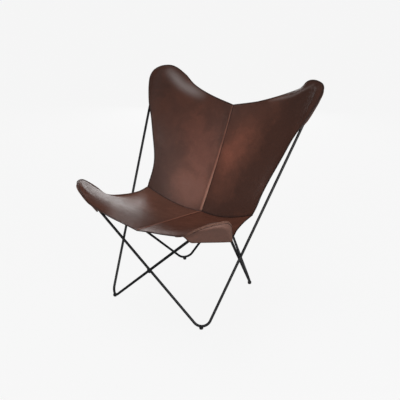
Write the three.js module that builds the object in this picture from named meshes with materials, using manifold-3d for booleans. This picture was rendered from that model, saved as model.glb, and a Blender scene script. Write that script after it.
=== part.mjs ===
// Butterfly sling chair: two bent rod loops, welded where they cross, carry a leather sling by four
// corner pockets. Millimetres, +Z up, the sitter looks along -Y, and +X is the sitter's left.
import * as THREE from 'three';
import { mergeVertices } from 'three/addons/utils/BufferGeometryUtils.js';
import Module from 'manifold-3d';

const wasm = await Module();
wasm.setup();

// Frame: corners are where the straight legs would meet, heights are above the feet's corners
const ROD_DIAMETER = 11;
const FRONT_FOOT_HALF = 247.5;
const FRONT_FOOT_Y = -232;
const REAR_FOOT_Y = 232;
const FRONT_TIP_HALF = 382;
const FRONT_TIP_Y = -314;
const FRONT_TIP_HEIGHT = 587;
const BACK_TIP_HALF = 440;
const BACK_TIP_Y = 384;
const BACK_TIP_HEIGHT = 1025;
const FOOT_BEND_RADIUS = 39;
const TIP_BEND_RADIUS = 43;

// Welds
const CROSSING_GAP = 0.45;
const WELD_LENGTH = 25;
const WELD_WIDTH = 17;
const WELD_HEIGHT = 10;
const CLOSING_WELD_LENGTH = 3;
const CLOSING_WELD_FROM_BEND = 45;

// Floor glides
const GLIDE_HEIGHT = 8;
const GLIDE_DIAMETER = 17;
const GLIDE_FLAT_DIAMETER = 10;
const GLIDE_DOME = 4.8;
const GLIDE_CUP = 3;
const STEM_DIAMETER = 4;
const STEM_DEPTH = 5;
const STEM_ROOT = 1.4;

// Sling: seams, heights above the feet's corners
const LEATHER = 3.5;
const CREASE_Y = 102;
const CREASE_HEIGHT = 367;
const CREASE_HALF_WIDTH = 284;
const CREASE_END_Y = 67;
const CREASE_END_HEIGHT = 434;
const CREASE_SAG = 27;
const BACK_SEAM_LENGTH = 501;
const BACK_RECLINE = 28.9;
const BACK_SEAM_HOLLOW = 9;
const SEAT_SEAM_LENGTH = 435;
const SEAT_TILT = 9;

// Sling: lobes over the rod tips, wider than their margin in places, and how far the free edges hang in
// between them
const BACK_LOBE_MARGIN = 23;
const BACK_LOBE_SIDE_RISE = 10;
const BACK_LOBE_SIDE_REACH = 70;
const BACK_LOBE_SIDE_CURL = 6;
const BACK_LOBE_TOP_EXTRA = 7;
const BACK_LOBE_SHOULDER_EXTRA = 14;
const BACK_LOBE_CURL = 13;
const BACK_NECK_DEPTH = 180;
const BACK_NECK_REACH = 76;
const BACK_LOBE_ROOT_DEPTH = 118;
const BACK_LOBE_ROOT_REACH = 86;
const BACK_SHOULDER_REACH = 99;
const BACK_SHOULDER_LIFT = 26;
const BACK_SIDE_HOLLOW = 33;
const TOP_EDGE_DIP = 15;
const FRONT_LOBE_MARGIN = 22;
const FRONT_LOBE_SIDE_EXTRA = 16;
const FRONT_LOBE_EDGE_EXTRA = 10;
const FRONT_LOBE_SHOULDER_EXTRA = 32;
const FRONT_LOBE_CURL = 4;
const FRONT_SHOULDER_DEPTH = 55;
const FRONT_SHOULDER_REACH = 117;
const FRONT_SHOULDER_LIFT = 8;
const FRONT_LOBE_ROOT_DEPTH = 90;
const FRONT_LOBE_ROOT_REACH = 98;
const FRONT_LOBE_ROOT_LIFT = 14;
const SEAT_SIDE_DIP = 10;
const SEAT_SIDE_INSET = 14;
const FRONT_EDGE_BULGE = 5;

// Sling: the leather lies over a rod tip as a rounded ridge
const DRAPE_SLACK = 2;
const DRAPE_ROUND = 14;
const DRAPE_SLOPE = 1.4;
const DRAPE_BLEND = 14;
const DRAPE_INSIDE = 0.12;
const DRAPE_START = 0.12;

// Sling: the back lobes are creased along their line of tension, and the seat sags beside its side edges
const TENSION_POINT = 11;
const CREST_FALL = 0.65;
const CREST_ROUND = 16;
const SEAT_SAG = 20;

// Corner pockets, in steps of the panels' edges
const BACK_POCKET = { sideSteps: 6, topSteps: 10, bowed: 0.06, slack: 3 };
const FRONT_POCKET = { sideSteps: 10, topSteps: 11, bowed: -0.005, slack: 5 };
const POCKET_SLOPE = 0.9;
const POCKET_OPENING = 0.2;
const POCKET_RISE = 6;
const POCKET_HEM = 0.05;

// Fits and facets
const CLEARANCE = 0.35;
const SEAM_GAP = 0.45;
const ROD_SIDES = 12;
const GLIDE_SIDES = 20;
const GLIDE_DOME_STEPS = 4;
const FOOT_BEND_STEPS = 12;
const TIP_BEND_STEPS = 14;
const CLOSING_TURNS = 12;
const PANEL_STEPS = 19;
const STRETCH_TURNS = 300;
const POCKET_STEPS_IN = 6;

const ROD_RADIUS = ROD_DIAMETER / 2;
const vec = (x, y, z) => new THREE.Vector3(x, y, z);
const mirrored = (point) => vec(-point.x, point.y, point.z);
const between = (from, to, part) => from.clone().lerp(to, part);

const leatherMaterial = (colour) =>
  new THREE.MeshStandardMaterial({ color: colour, roughness: 0.5, metalness: 0 });
const steelMaterial = () =>
  new THREE.MeshStandardMaterial({ color: 0x151517, roughness: 0.42, metalness: 0.2 });
const glideMaterial = () =>
  new THREE.MeshStandardMaterial({ color: 0x0d0d0e, roughness: 0.6, metalness: 0 });

// Solids for joining and cutting

function toSolid(geometry) {
  const bare = geometry.index ? geometry.toNonIndexed() : geometry.clone();
  bare.deleteAttribute('normal');
  bare.deleteAttribute('uv');
  const merged = mergeVertices(bare, 1e-4);
  return new wasm.Manifold(new wasm.Mesh({
    numProp: 3,
    vertProperties: new Float32Array(merged.attributes.position.array),
    triVerts: new Uint32Array(merged.index.array),
  }));
}

function toGeometry(solid) {
  const mesh = solid.getMesh();
  const geometry = new THREE.BufferGeometry();
  geometry.setAttribute('position', new THREE.BufferAttribute(new Float32Array(mesh.vertProperties), 3));
  geometry.setIndex(new THREE.BufferAttribute(new Uint32Array(mesh.triVerts), 1));
  geometry.computeVertexNormals();
  return geometry;
}

// Root of a smooth function by the secant rule
function solve(residual, first, second) {
  let a = first;
  let b = second;
  for (let turn = 0; turn < 40 && Math.abs(residual(b)) > 1e-6; turn += 1) {
    const next = b - (residual(b) * (b - a)) / (residual(b) - residual(a));
    a = b;
    b = next;
  }
  return b;
}

// Frame corners

// The crossing rods lie side by side, so each loop's feet stand a little apart from the other's
function frameCorners(feet) {
  return {
    frontLeftFoot: vec(-FRONT_FOOT_HALF, FRONT_FOOT_Y - feet.frontShift, 0),
    frontRightFoot: vec(FRONT_FOOT_HALF, FRONT_FOOT_Y + feet.frontShift, 0),
    rearRightFoot: vec(feet.rightHalf, REAR_FOOT_Y - feet.rearShift, 0),
    rearLeftFoot: vec(-feet.leftHalf, REAR_FOOT_Y + feet.rearShift, 0),
    backLeftTip: vec(-BACK_TIP_HALF, BACK_TIP_Y, BACK_TIP_HEIGHT),
    backRightTip: vec(BACK_TIP_HALF, BACK_TIP_Y, BACK_TIP_HEIGHT),
    frontLeftTip: vec(-FRONT_TIP_HALF, FRONT_TIP_Y, FRONT_TIP_HEIGHT),
    frontRightTip: vec(FRONT_TIP_HALF, FRONT_TIP_Y, FRONT_TIP_HEIGHT),
  };
}

// Nearest points of two straight legs, given by their end corners, and how far B lies to the side of A
function crossing(startA, endA, startB, endB) {
  const alongA = endA.clone().sub(startA).normalize();
  const alongB = endB.clone().sub(startB).normalize();
  const normal = alongA.clone().cross(alongB).normalize();
  const apart = startB.clone().sub(startA);
  const cosine = alongA.dot(alongB);
  const reachA = (apart.dot(alongA) - cosine * apart.dot(alongB)) / (1 - cosine * cosine);
  const reachB = reachA * cosine - apart.dot(alongB);
  const onA = startA.clone().addScaledVector(alongA, reachA);
  const onB = startB.clone().addScaledVector(alongB, reachB);
  return { alongA, alongB, normal, middle: between(onA, onB, 0.5), offset: apart.dot(normal) };
}

const crossings = {
  front: (c) => crossing(c.frontLeftFoot, c.frontRightTip, c.frontRightFoot, c.frontLeftTip),
  rear: (c) => crossing(c.rearRightFoot, c.backLeftTip, c.rearLeftFoot, c.backRightTip),
  left: (c) => crossing(c.frontLeftFoot, c.backLeftTip, c.rearLeftFoot, c.frontLeftTip),
  right: (c) => crossing(c.rearRightFoot, c.frontRightTip, c.frontRightFoot, c.backRightTip),
};

// Each crossing closes up by one place of the feet, in turns, because they act on each other a little
const RODS_TOUCHING = ROD_DIAMETER + CROSSING_GAP;
const footPlaces = {
  frontShift: RODS_TOUCHING,
  rearShift: RODS_TOUCHING,
  leftHalf: FRONT_FOOT_HALF,
  rightHalf: FRONT_FOOT_HALF,
};
const closings = [
  { name: 'front', place: 'frontShift', side: -1 },
  { name: 'rear', place: 'rearShift', side: 1 },
  { name: 'left', place: 'leftHalf', side: 1 },
  { name: 'right', place: 'rightHalf', side: -1 },
];
for (let turn = 0; turn < CLOSING_TURNS; turn += 1) {
  for (const { name, place, side } of closings) {
    const open = (value) =>
      crossings[name](frameCorners({ ...footPlaces, [place]: value })).offset - side * RODS_TOUCHING;
    footPlaces[place] = solve(open, footPlaces[place], footPlaces[place] + ROD_RADIUS);
  }
}
const corners = frameCorners(footPlaces);

// Bends and rods

// Circular bend of a given radius in the corner between two legs
function bend(corner, before, after, radius) {
  const toBefore = before.clone().sub(corner).normalize();
  const toAfter = after.clone().sub(corner).normalize();
  const half = toBefore.angleTo(toAfter) / 2;
  const tipward = toBefore.clone().add(toAfter).normalize().negate();
  const across = toAfter.clone().sub(toBefore).normalize();
  const centre = corner.clone().addScaledVector(tipward, -radius / Math.sin(half));
  const sweep = Math.PI / 2 - half;
  const at = (angle) => centre.clone()
    .addScaledVector(tipward, radius * Math.cos(angle))
    .addScaledVector(across, radius * Math.sin(angle));
  const heading = (angle) => across.clone().multiplyScalar(Math.cos(angle))
    .addScaledVector(tipward, -Math.sin(angle));
  return { centre, tipward, across, sweep, at, heading, toBefore, toAfter };
}

// Lowest point of a foot's bend on the rod's centre line
function footLow(corner, before, after) {
  const foot = bend(corner, before, after, FOOT_BEND_RADIUS);
  return foot.at(Math.atan2(-foot.across.z, -foot.tipward.z));
}

// A route whose sections lie at chosen stations, close together only in the bends
class RodRoute extends THREE.Curve {
  constructor(stations) {
    super();
    this.stations = stations;
  }
  station(part) {
    return this.stations[Math.round(part * (this.stations.length - 1))];
  }
  getPointAt(part) {
    return this.station(part).point.clone();
  }
  getTangentAt(part) {
    return this.station(part).heading.clone();
  }
}

// Stations of a loop from its closing weld, on the leg between its last and first corner, round to it
function loopRoute(loopCorners) {
  const count = loopCorners.length;
  const bends = loopCorners.map((item, index) => bend(
    item.corner,
    loopCorners[(index + count - 1) % count].corner,
    loopCorners[(index + 1) % count].corner,
    item.radius,
  ));
  const last = bends[count - 1];
  const weldHeading = last.toAfter.clone();
  const weldPoint = last.at(last.sweep).addScaledVector(weldHeading, CLOSING_WELD_FROM_BEND);
  const endGap = CLOSING_WELD_LENGTH / 2 + CLEARANCE;
  const stations = [{ point: weldPoint.clone().addScaledVector(weldHeading, endGap), heading: weldHeading }];
  bends.forEach((item, index) => {
    const steps = loopCorners[index].steps;
    for (let step = 0; step <= steps; step += 1) {
      const angle = -item.sweep + (2 * item.sweep * step) / steps;
      stations.push({ point: item.at(angle), heading: item.heading(angle) });
    }
  });
  stations.push({ point: weldPoint.clone().addScaledVector(weldHeading, -endGap), heading: weldHeading });
  return { stations, weldPoint, weldHeading };
}

function rodGeometry(stations, radius) {
  const section = new THREE.Shape(Array.from({ length: ROD_SIDES }, (_, index) => {
    const angle = (2 * Math.PI * index) / ROD_SIDES;
    return new THREE.Vector2(radius * Math.cos(angle), radius * Math.sin(angle));
  }));
  return new THREE.ExtrudeGeometry(section, {
    steps: stations.length - 1,
    extrudePath: new RodRoute(stations),
    bevelEnabled: false,
  });
}

const { frontLeftFoot, frontRightFoot, rearLeftFoot, rearRightFoot } = corners;
const { frontLeftTip, frontRightTip, backLeftTip, backRightTip } = corners;
const footCorner = (corner) => ({ corner, radius: FOOT_BEND_RADIUS, steps: FOOT_BEND_STEPS });
const tipCorner = (corner) => ({ corner, radius: TIP_BEND_RADIUS, steps: TIP_BEND_STEPS });
const loops = {
  a: loopRoute([
    footCorner(rearLeftFoot), tipCorner(frontLeftTip), footCorner(frontRightFoot), tipCorner(backRightTip),
  ]),
  b: loopRoute([
    footCorner(rearRightFoot), tipCorner(frontRightTip), footCorner(frontLeftFoot), tipCorner(backLeftTip),
  ]),
};
const roundRod = (loop) => toSolid(rodGeometry(loop.stations, ROD_RADIUS + CLEARANCE));
const rodSpace = { a: roundRod(loops.a), b: roundRod(loops.b) };

const feet = {
  front_left: { loop: 'b', low: footLow(frontLeftFoot, backLeftTip, frontRightTip) },
  front_right: { loop: 'a', low: footLow(frontRightFoot, frontLeftTip, backRightTip) },
  rear_left: { loop: 'a', low: footLow(rearLeftFoot, backRightTip, frontLeftTip) },
  rear_right: { loop: 'b', low: footLow(rearRightFoot, frontRightTip, backLeftTip) },
};
const FLOOR = Math.min(...Object.values(feet).map((foot) => foot.low.z)) - ROD_RADIUS - GLIDE_HEIGHT;

// Glides

const upright = (geometry) => geometry.rotateX(Math.PI / 2);

function glideGeometry(foot) {
  const seat = foot.low.z - ROD_RADIUS - FLOOR;
  const dome = new THREE.QuadraticBezierCurve(
    new THREE.Vector2(GLIDE_FLAT_DIAMETER / 2, 0),
    new THREE.Vector2(GLIDE_DIAMETER / 2, 0),
    new THREE.Vector2(GLIDE_DIAMETER / 2, GLIDE_DOME),
  );
  const head = new THREE.LatheGeometry([
    new THREE.Vector2(0, 0), ...dome.getPoints(GLIDE_DOME_STEPS),
    new THREE.Vector2(GLIDE_DIAMETER / 2, seat + GLIDE_CUP), new THREE.Vector2(0, seat + GLIDE_CUP),
  ], GLIDE_SIDES);
  const stemLength = STEM_ROOT + STEM_DEPTH;
  const stem = new THREE.CylinderGeometry(STEM_DIAMETER / 2, STEM_DIAMETER / 2, stemLength, ROD_SIDES);
  const headSolid = toSolid(upright(head).translate(foot.low.x, foot.low.y, FLOOR));
  const stemMiddle = FLOOR + seat + STEM_DEPTH - stemLength / 2;
  const stemSolid = toSolid(upright(stem).translate(foot.low.x, foot.low.y, stemMiddle));
  return toGeometry(headSolid.subtract(rodSpace[foot.loop]).add(stemSolid));
}

function stemHole(foot) {
  const radius = STEM_DIAMETER / 2 + CLEARANCE;
  const length = STEM_DEPTH + CLEARANCE + ROD_RADIUS;
  const hole = upright(new THREE.CylinderGeometry(radius, radius, length, ROD_SIDES));
  const top = foot.low.z - ROD_RADIUS + STEM_DEPTH + CLEARANCE;
  return toSolid(hole.translate(foot.low.x, foot.low.y, top - length / 2));
}

// Welds

// A bead in the corners between two crossing rods
function crossingWeld(place) {
  const bead = new THREE.SphereGeometry(0.5, 24, 16);
  const along = place.alongA.clone().add(place.alongB).normalize();
  const side = place.normal.clone().cross(along).normalize();
  const turn = new THREE.Matrix4().makeBasis(along, side, place.normal);
  bead.applyMatrix4(new THREE.Matrix4().makeScale(WELD_LENGTH, WELD_WIDTH, WELD_HEIGHT));
  bead.applyMatrix4(turn).translate(place.middle.x, place.middle.y, place.middle.z);
  return toGeometry(toSolid(bead).subtract(rodSpace.a).subtract(rodSpace.b));
}

// The butt weld is ground flush with the rod
function closingWeld(loop) {
  const heading = loop.weldHeading;
  const point = (offset) => loop.weldPoint.clone().addScaledVector(heading, offset);
  return rodGeometry([
    { point: point(-CLOSING_WELD_LENGTH / 2), heading },
    { point: point(CLOSING_WELD_LENGTH / 2), heading },
  ], ROD_RADIUS);
}

// Sling: every side is worked out as a left one, and the right one is mirrored

const leftTip = (corner, before, after) => bend(corner, before, after, TIP_BEND_RADIUS);
const rightTip = (corner, before, after) => leftTip(mirrored(corner), mirrored(before), mirrored(after));
const sides = {
  left: {
    backTip: leftTip(backLeftTip, frontLeftFoot, rearRightFoot),
    frontTip: leftTip(frontLeftTip, frontRightFoot, rearLeftFoot),
  },
  right: {
    backTip: rightTip(backRightTip, frontRightFoot, rearLeftFoot),
    frontTip: rightTip(frontRightTip, frontLeftFoot, rearRightFoot),
  },
};

const creaseCentre = vec(0, CREASE_Y, CREASE_HEIGHT);
const creaseEnd = vec(-CREASE_HALF_WIDTH, CREASE_END_Y, CREASE_END_HEIGHT);
const recline = THREE.MathUtils.degToRad(BACK_RECLINE);
const tilt = THREE.MathUtils.degToRad(SEAT_TILT);
const backUp = vec(0, Math.sin(recline), Math.cos(recline));
const seatForward = vec(0, -Math.cos(tilt), Math.sin(tilt));
const topCentre = creaseCentre.clone().addScaledVector(backUp, BACK_SEAM_LENGTH);
const frontCentre = creaseCentre.clone().addScaledVector(seatForward, SEAT_SEAM_LENGTH);

const crossSeam = new THREE.QuadraticBezierCurve3(
  creaseEnd,
  between(creaseEnd, creaseCentre, 0.55).add(vec(0, 0, -2 * CREASE_SAG + CREASE_SAG / 2)),
  creaseCentre,
);
const backSeam = new THREE.QuadraticBezierCurve3(
  creaseCentre,
  between(creaseCentre, topCentre, 0.5).add(vec(0, backUp.z, -backUp.y).multiplyScalar(2 * BACK_SEAM_HOLLOW)),
  topCentre,
);
const seatSeam = new THREE.LineCurve3(creaseCentre, frontCentre);

// Unit direction away from the sitter at a rod tip
const outward = (tip) => tip.tipward.clone().cross(tip.across).normalize();

// A point near a rod tip, by its place in the plane of the tip and its distance out of it
const nearTip = (tip, tipward, across, out) => tip.centre.clone()
  .addScaledVector(tip.tipward, tipward)
  .addScaledVector(tip.across, across)
  .addScaledVector(outward(tip), out);

// Points round a lobe by their angle, curled behind the rod on one side and lifted on the other
function roundLobe(tip, margin, outAt) {
  return (degrees, extra = 0) => {
    const angle = THREE.MathUtils.degToRad(degrees);
    const radius = TIP_BEND_RADIUS + margin + extra;
    const across = radius * Math.sin(angle);
    return nearTip(tip, radius * Math.cos(angle), across, outAt(across));
  };
}

const eased = (from, to, low, high) => (value) =>
  THREE.MathUtils.lerp(from, to, THREE.MathUtils.smoothstep(value, low, high));

// Free outline of a back panel, from the end of the crease over the lobe to the top of the centre seam
function backOutline(tip) {
  const liftEnd = BACK_SHOULDER_REACH * 0.7;
  const outAt = eased(BACK_LOBE_CURL, -BACK_SHOULDER_LIFT, -TIP_BEND_RADIUS / 2, liftEnd);
  const lobe = roundLobe(tip, BACK_LOBE_MARGIN, outAt);
  const neck = nearTip(tip, -BACK_NECK_DEPTH, -BACK_NECK_REACH, -ROD_RADIUS);
  const root = nearTip(tip, -BACK_LOBE_ROOT_DEPTH, -BACK_LOBE_ROOT_REACH, -ROD_RADIUS);
  const shoulder = nearTip(tip, 0, BACK_SHOULDER_REACH, -BACK_SHOULDER_LIFT);
  return new THREE.CatmullRomCurve3([
    creaseEnd,
    between(creaseEnd, root, 0.27).add(vec(BACK_SIDE_HOLLOW * 0.27, BACK_SIDE_HOLLOW, 0)),
    between(creaseEnd, root, 0.62).add(vec(BACK_SIDE_HOLLOW * 0.15, BACK_SIDE_HOLLOW * 0.7, 0)),
    neck, root,
    nearTip(tip, BACK_LOBE_SIDE_RISE, -BACK_LOBE_SIDE_REACH, BACK_LOBE_SIDE_CURL),
    lobe(-45), lobe(-10), lobe(25, BACK_LOBE_TOP_EXTRA),
    lobe(55, BACK_LOBE_SHOULDER_EXTRA),
    shoulder,
    between(shoulder, topCentre, 0.35).add(vec(0, -TOP_EDGE_DIP * 0.6, -TOP_EDGE_DIP)),
    between(shoulder, topCentre, 0.68).add(vec(0, 0, -TOP_EDGE_DIP * 0.87)),
    topCentre,
  ], false, 'centripetal');
}

// Free outline of a seat panel, from the end of the crease over the lobe to the front of the centre seam
function seatOutline(tip) {
  const liftEnd = FRONT_LOBE_ROOT_REACH * 0.6;
  const outAt = eased(FRONT_LOBE_CURL, -FRONT_LOBE_ROOT_LIFT, -TIP_BEND_RADIUS / 2, liftEnd);
  const lobe = roundLobe(tip, FRONT_LOBE_MARGIN, outAt);
  const root = nearTip(tip, -FRONT_LOBE_ROOT_DEPTH, FRONT_LOBE_ROOT_REACH, -FRONT_LOBE_ROOT_LIFT);
  const shoulder = nearTip(tip, -FRONT_SHOULDER_DEPTH, -FRONT_SHOULDER_REACH, -FRONT_SHOULDER_LIFT);
  return new THREE.CatmullRomCurve3([
    creaseEnd,
    between(creaseEnd, root, 0.29).add(vec(SEAT_SIDE_INSET, 0, -SEAT_SIDE_DIP * 0.92)),
    between(creaseEnd, root, 0.66).add(vec(SEAT_SIDE_INSET, 0, -SEAT_SIDE_DIP)),
    root,
    lobe(112, FRONT_LOBE_SIDE_EXTRA), lobe(72), lobe(36), lobe(0), lobe(-35),
    lobe(-66, FRONT_LOBE_EDGE_EXTRA), lobe(-95, FRONT_LOBE_SHOULDER_EXTRA),
    shoulder,
    between(shoulder, frontCentre, 0.36).add(vec(0, -FRONT_EDGE_BULGE, 0)),
    between(shoulder, frontCentre, 0.7).add(vec(0, -FRONT_EDGE_BULGE, FRONT_EDGE_BULGE / 2)),
    frontCentre,
  ], false, 'centripetal');
}

// Grid of points on a surface, as rows along v
function sample(surface, stepsU, stepsV) {
  return Array.from({ length: stepsV + 1 }, (_, row) =>
    Array.from({ length: stepsU + 1 }, (__, column) => surface(column / stepsU, row / stepsV)));
}

// Vector of a panel's grid at a place in between its points
function inGrid(grid, u, v) {
  const column = Math.min(PANEL_STEPS - 1, Math.floor(u * PANEL_STEPS));
  const row = Math.min(PANEL_STEPS - 1, Math.floor(v * PANEL_STEPS));
  const low = between(grid[row][column], grid[row][column + 1], u * PANEL_STEPS - column);
  const high = between(grid[row + 1][column], grid[row + 1][column + 1], u * PANEL_STEPS - column);
  return low.lerp(high, v * PANEL_STEPS - row);
}

// A patch filled in between four edges: the outline's two stretches, the cross seam and a centre seam
function filledPatch(outline, centreSeam) {
  const side = (v) => outline.getPoint(v / 2);
  const end = (u) => outline.getPoint((1 + u) / 2);
  const lobeCorner = outline.getPoint(0.5);
  const endCentre = centreSeam.getPoint(1);
  return (u, v) => vec(0, 0, 0)
    .addScaledVector(crossSeam.getPoint(u), 1 - v)
    .addScaledVector(end(u), v)
    .addScaledVector(side(v), 1 - u)
    .addScaledVector(centreSeam.getPoint(v), u)
    .addScaledVector(creaseEnd, -(1 - u) * (1 - v))
    .addScaledVector(creaseCentre, -u * (1 - v))
    .addScaledVector(lobeCorner, -(1 - u) * v)
    .addScaledVector(endCentre, -u * v);
}

// The patch stretched like leather: every point inside settles midway between its neighbours
function panelSurface(outline, centreSeam) {
  const grid = sample(filledPatch(outline, centreSeam), PANEL_STEPS, PANEL_STEPS);
  for (let turn = 0; turn < STRETCH_TURNS; turn += 1) {
    for (let row = 1; row < PANEL_STEPS; row += 1) {
      for (let column = 1; column < PANEL_STEPS; column += 1) {
        grid[row][column].copy(grid[row - 1][column]).add(grid[row + 1][column])
          .add(grid[row][column - 1]).add(grid[row][column + 1]).multiplyScalar(1 / 4);
      }
    }
  }
  return (u, v) => inGrid(grid, u, v);
}

// Distance of a place in the plane of a rod tip from the rod's centre line, negative inside the bend
function fromRod(tip, tipward, across) {
  const inBend = Math.abs(Math.atan2(across, tipward)) < tip.sweep;
  const radius = inBend
    ? Math.hypot(tipward, across)
    : tipward * Math.cos(tip.sweep) + Math.abs(across) * Math.sin(tip.sweep);
  return radius - TIP_BEND_RADIUS;
}

// Where a point lies by a rod tip: its distance from the rod in the plane of the tip and out of it
function byRod(tip, point) {
  const local = point.clone().sub(tip.centre);
  return {
    out: local.dot(outward(tip)),
    distance: fromRod(tip, local.dot(tip.tipward), local.dot(tip.across)),
  };
}

// Height that leather needs to clear the rod, falling away beside it
const ridge = (distance, slope, slack) =>
  ROD_RADIUS + LEATHER / 2 + slack + DRAPE_ROUND - Math.hypot(DRAPE_ROUND, slope * distance);

// The greater of two heights, rounded where they are close
function softMax(a, b) {
  const near = Math.max(0, 1 - Math.abs(a - b) / DRAPE_BLEND);
  return Math.max(a, b) + (DRAPE_BLEND * near * near) / 4;
}

// Height of the leather by its line of tension, which runs from a rod tip to a point of the free edge
function crest(tip, end, point) {
  const away = outward(tip);
  const start = nearTip(tip, TIP_BEND_RADIUS * 0.7, TIP_BEND_RADIUS * 0.7, -ROD_RADIUS - LEATHER);
  const line = end.clone().sub(start);
  const flatLine = line.clone().projectOnPlane(away);
  const local = point.clone().sub(start).projectOnPlane(away);
  const part = THREE.MathUtils.clamp(local.dot(flatLine) / flatLine.lengthSq(), -0.2, 1.2);
  const beside = local.addScaledVector(flatLine, -part).length();
  const fall = Math.hypot(CREST_ROUND, beside) - CREST_ROUND;
  return ROD_RADIUS + LEATHER - part * line.dot(away) - CREST_FALL * fall;
}

// A panel's patch lifted off the rod at its tip, and up to its line of tension where it has one,
// but not along the crease
const draped = (surface, tip, tensionEnd) => (u, v) => {
  const point = surface(u, v);
  const { out, distance } = byRod(tip, point);
  const beside = distance < 0 ? DRAPE_INSIDE * distance : distance;
  const overRod = softMax(-out, ridge(beside, DRAPE_SLOPE, DRAPE_SLACK));
  const height = tensionEnd ? softMax(overRod, crest(tip, tensionEnd, point)) : overRod;
  const lift = THREE.MathUtils.smoothstep(v, 0, DRAPE_START) * (height + out);
  return point.addScaledVector(outward(tip), -lift);
};

// A seat's patch with its sag, which is greatest a third of the way in from the side edge
const sagging = (surface) => (u, v) => {
  const sag = SEAT_SAG * 4 * (u ** 0.6 - u ** 1.2) * 4 * v * (1 - v);
  return surface(u, v).add(vec(0, 0, -sag));
};

// Unit normals of a grid, averaged over the faces round each point
function gridNormals(grid) {
  const normals = grid.map((row) => row.map(() => vec(0, 0, 0)));
  for (let row = 0; row + 1 < grid.length; row += 1) {
    for (let column = 0; column + 1 < grid[row].length; column += 1) {
      const diagonal = grid[row + 1][column + 1].clone().sub(grid[row][column]);
      const other = grid[row + 1][column].clone().sub(grid[row][column + 1]);
      const face = diagonal.cross(other);
      for (const [r, c] of [[row, column], [row + 1, column], [row, column + 1], [row + 1, column + 1]]) {
        normals[r][c].add(face);
      }
    }
  }
  normals.forEach((row) => row.forEach((normal) => normal.normalize()));
  return normals;
}

// Closed sheet between a grid moved by its half-thickness vectors to either side
function sheetGeometry(grid, halves, flip) {
  const rows = grid.length;
  const columns = grid[0].length;
  const positions = [];
  const sign = flip ? -1 : 1;
  for (const layer of [1, -1]) {
    grid.forEach((line, row) => line.forEach((point, column) => {
      const moved = point.clone().addScaledVector(halves[row][column], layer);
      positions.push(sign * moved.x, moved.y, moved.z);
    }));
  }
  const index = [];
  const at = (layer, row, column) => layer * rows * columns + row * columns + column;
  const quad = (a, b, c, d) => {
    index.push(...(flip ? [a, c, b, a, d, c] : [a, b, c, a, c, d]));
  };
  for (let row = 0; row + 1 < rows; row += 1) {
    for (let column = 0; column + 1 < columns; column += 1) {
      quad(at(0, row, column), at(0, row, column + 1), at(0, row + 1, column + 1), at(0, row + 1, column));
      quad(at(1, row, column), at(1, row + 1, column), at(1, row + 1, column + 1), at(1, row, column + 1));
    }
  }
  for (let column = 0; column + 1 < columns; column += 1) {
    quad(at(0, 0, column), at(1, 0, column), at(1, 0, column + 1), at(0, 0, column + 1));
    quad(at(0, rows - 1, column), at(0, rows - 1, column + 1),
      at(1, rows - 1, column + 1), at(1, rows - 1, column));
  }
  for (let row = 0; row + 1 < rows; row += 1) {
    quad(at(0, row, 0), at(0, row + 1, 0), at(1, row + 1, 0), at(1, row, 0));
    quad(at(0, row, columns - 1), at(1, row, columns - 1),
      at(1, row + 1, columns - 1), at(0, row + 1, columns - 1));
  }
  const geometry = new THREE.BufferGeometry();
  geometry.setAttribute('position', new THREE.Float32BufferAttribute(positions, 3));
  geometry.setIndex(index);
  geometry.computeVertexNormals();
  return geometry;
}

const thickened = (normals) =>
  normals.map((row) => row.map((normal) => normal.clone().multiplyScalar(LEATHER / 2)));

// Opens the seams by half their gap
function openSeams(grid) {
  const last = grid[0].length - 1;
  grid[0].forEach((point, column) => {
    const inward = grid[1][column].clone().sub(point).normalize();
    point.addScaledVector(inward, SEAM_GAP / 2);
  });
  grid.forEach((row) => {
    row[last].x = -SEAM_GAP / 2;
  });
}

// A back and a seat panel of one side, mitred along the cross seam and square to the centre plane
function panelPair(side, flip) {
  const outline = backOutline(side.backTip);
  const backPatch = panelSurface(outline, backSeam);
  const seatPatch = sagging(panelSurface(seatOutline(side.frontTip), seatSeam));
  const tensionEnd = outline.points[TENSION_POINT];
  const back = sample(draped(backPatch, side.backTip, tensionEnd), PANEL_STEPS, PANEL_STEPS);
  const seat = sample(draped(seatPatch, side.frontTip), PANEL_STEPS, PANEL_STEPS);
  const backNormals = gridNormals(back);
  const seatNormals = gridNormals(seat);
  seatNormals.forEach((row) => row.forEach((normal) => normal.negate()));
  for (const normals of [backNormals, seatNormals]) {
    normals.forEach((row) => row[PANEL_STEPS].setX(0).normalize());
  }
  const backHalves = thickened(backNormals);
  const seatHalves = thickened(seatNormals);
  backNormals[0].forEach((normal, column) => {
    const shared = normal.clone().add(seatNormals[0][column]).normalize();
    const mitre = shared.multiplyScalar(LEATHER / 2 / shared.dot(normal));
    backHalves[0][column].copy(mitre);
    seatHalves[0][column].copy(mitre);
  });
  openSeams(back);
  openSeams(seat);
  seatHalves.forEach((row) => row.forEach((half) => half.negate()));
  const backGeometry = sheetGeometry(back, backHalves, flip);
  const seatGeometry = sheetGeometry(seat, seatHalves, flip);
  return {
    back: { patch: backPatch, grid: back, normals: backNormals, geometry: backGeometry },
    seat: { patch: seatPatch, grid: seat, normals: seatNormals, geometry: seatGeometry },
  };
}

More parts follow.
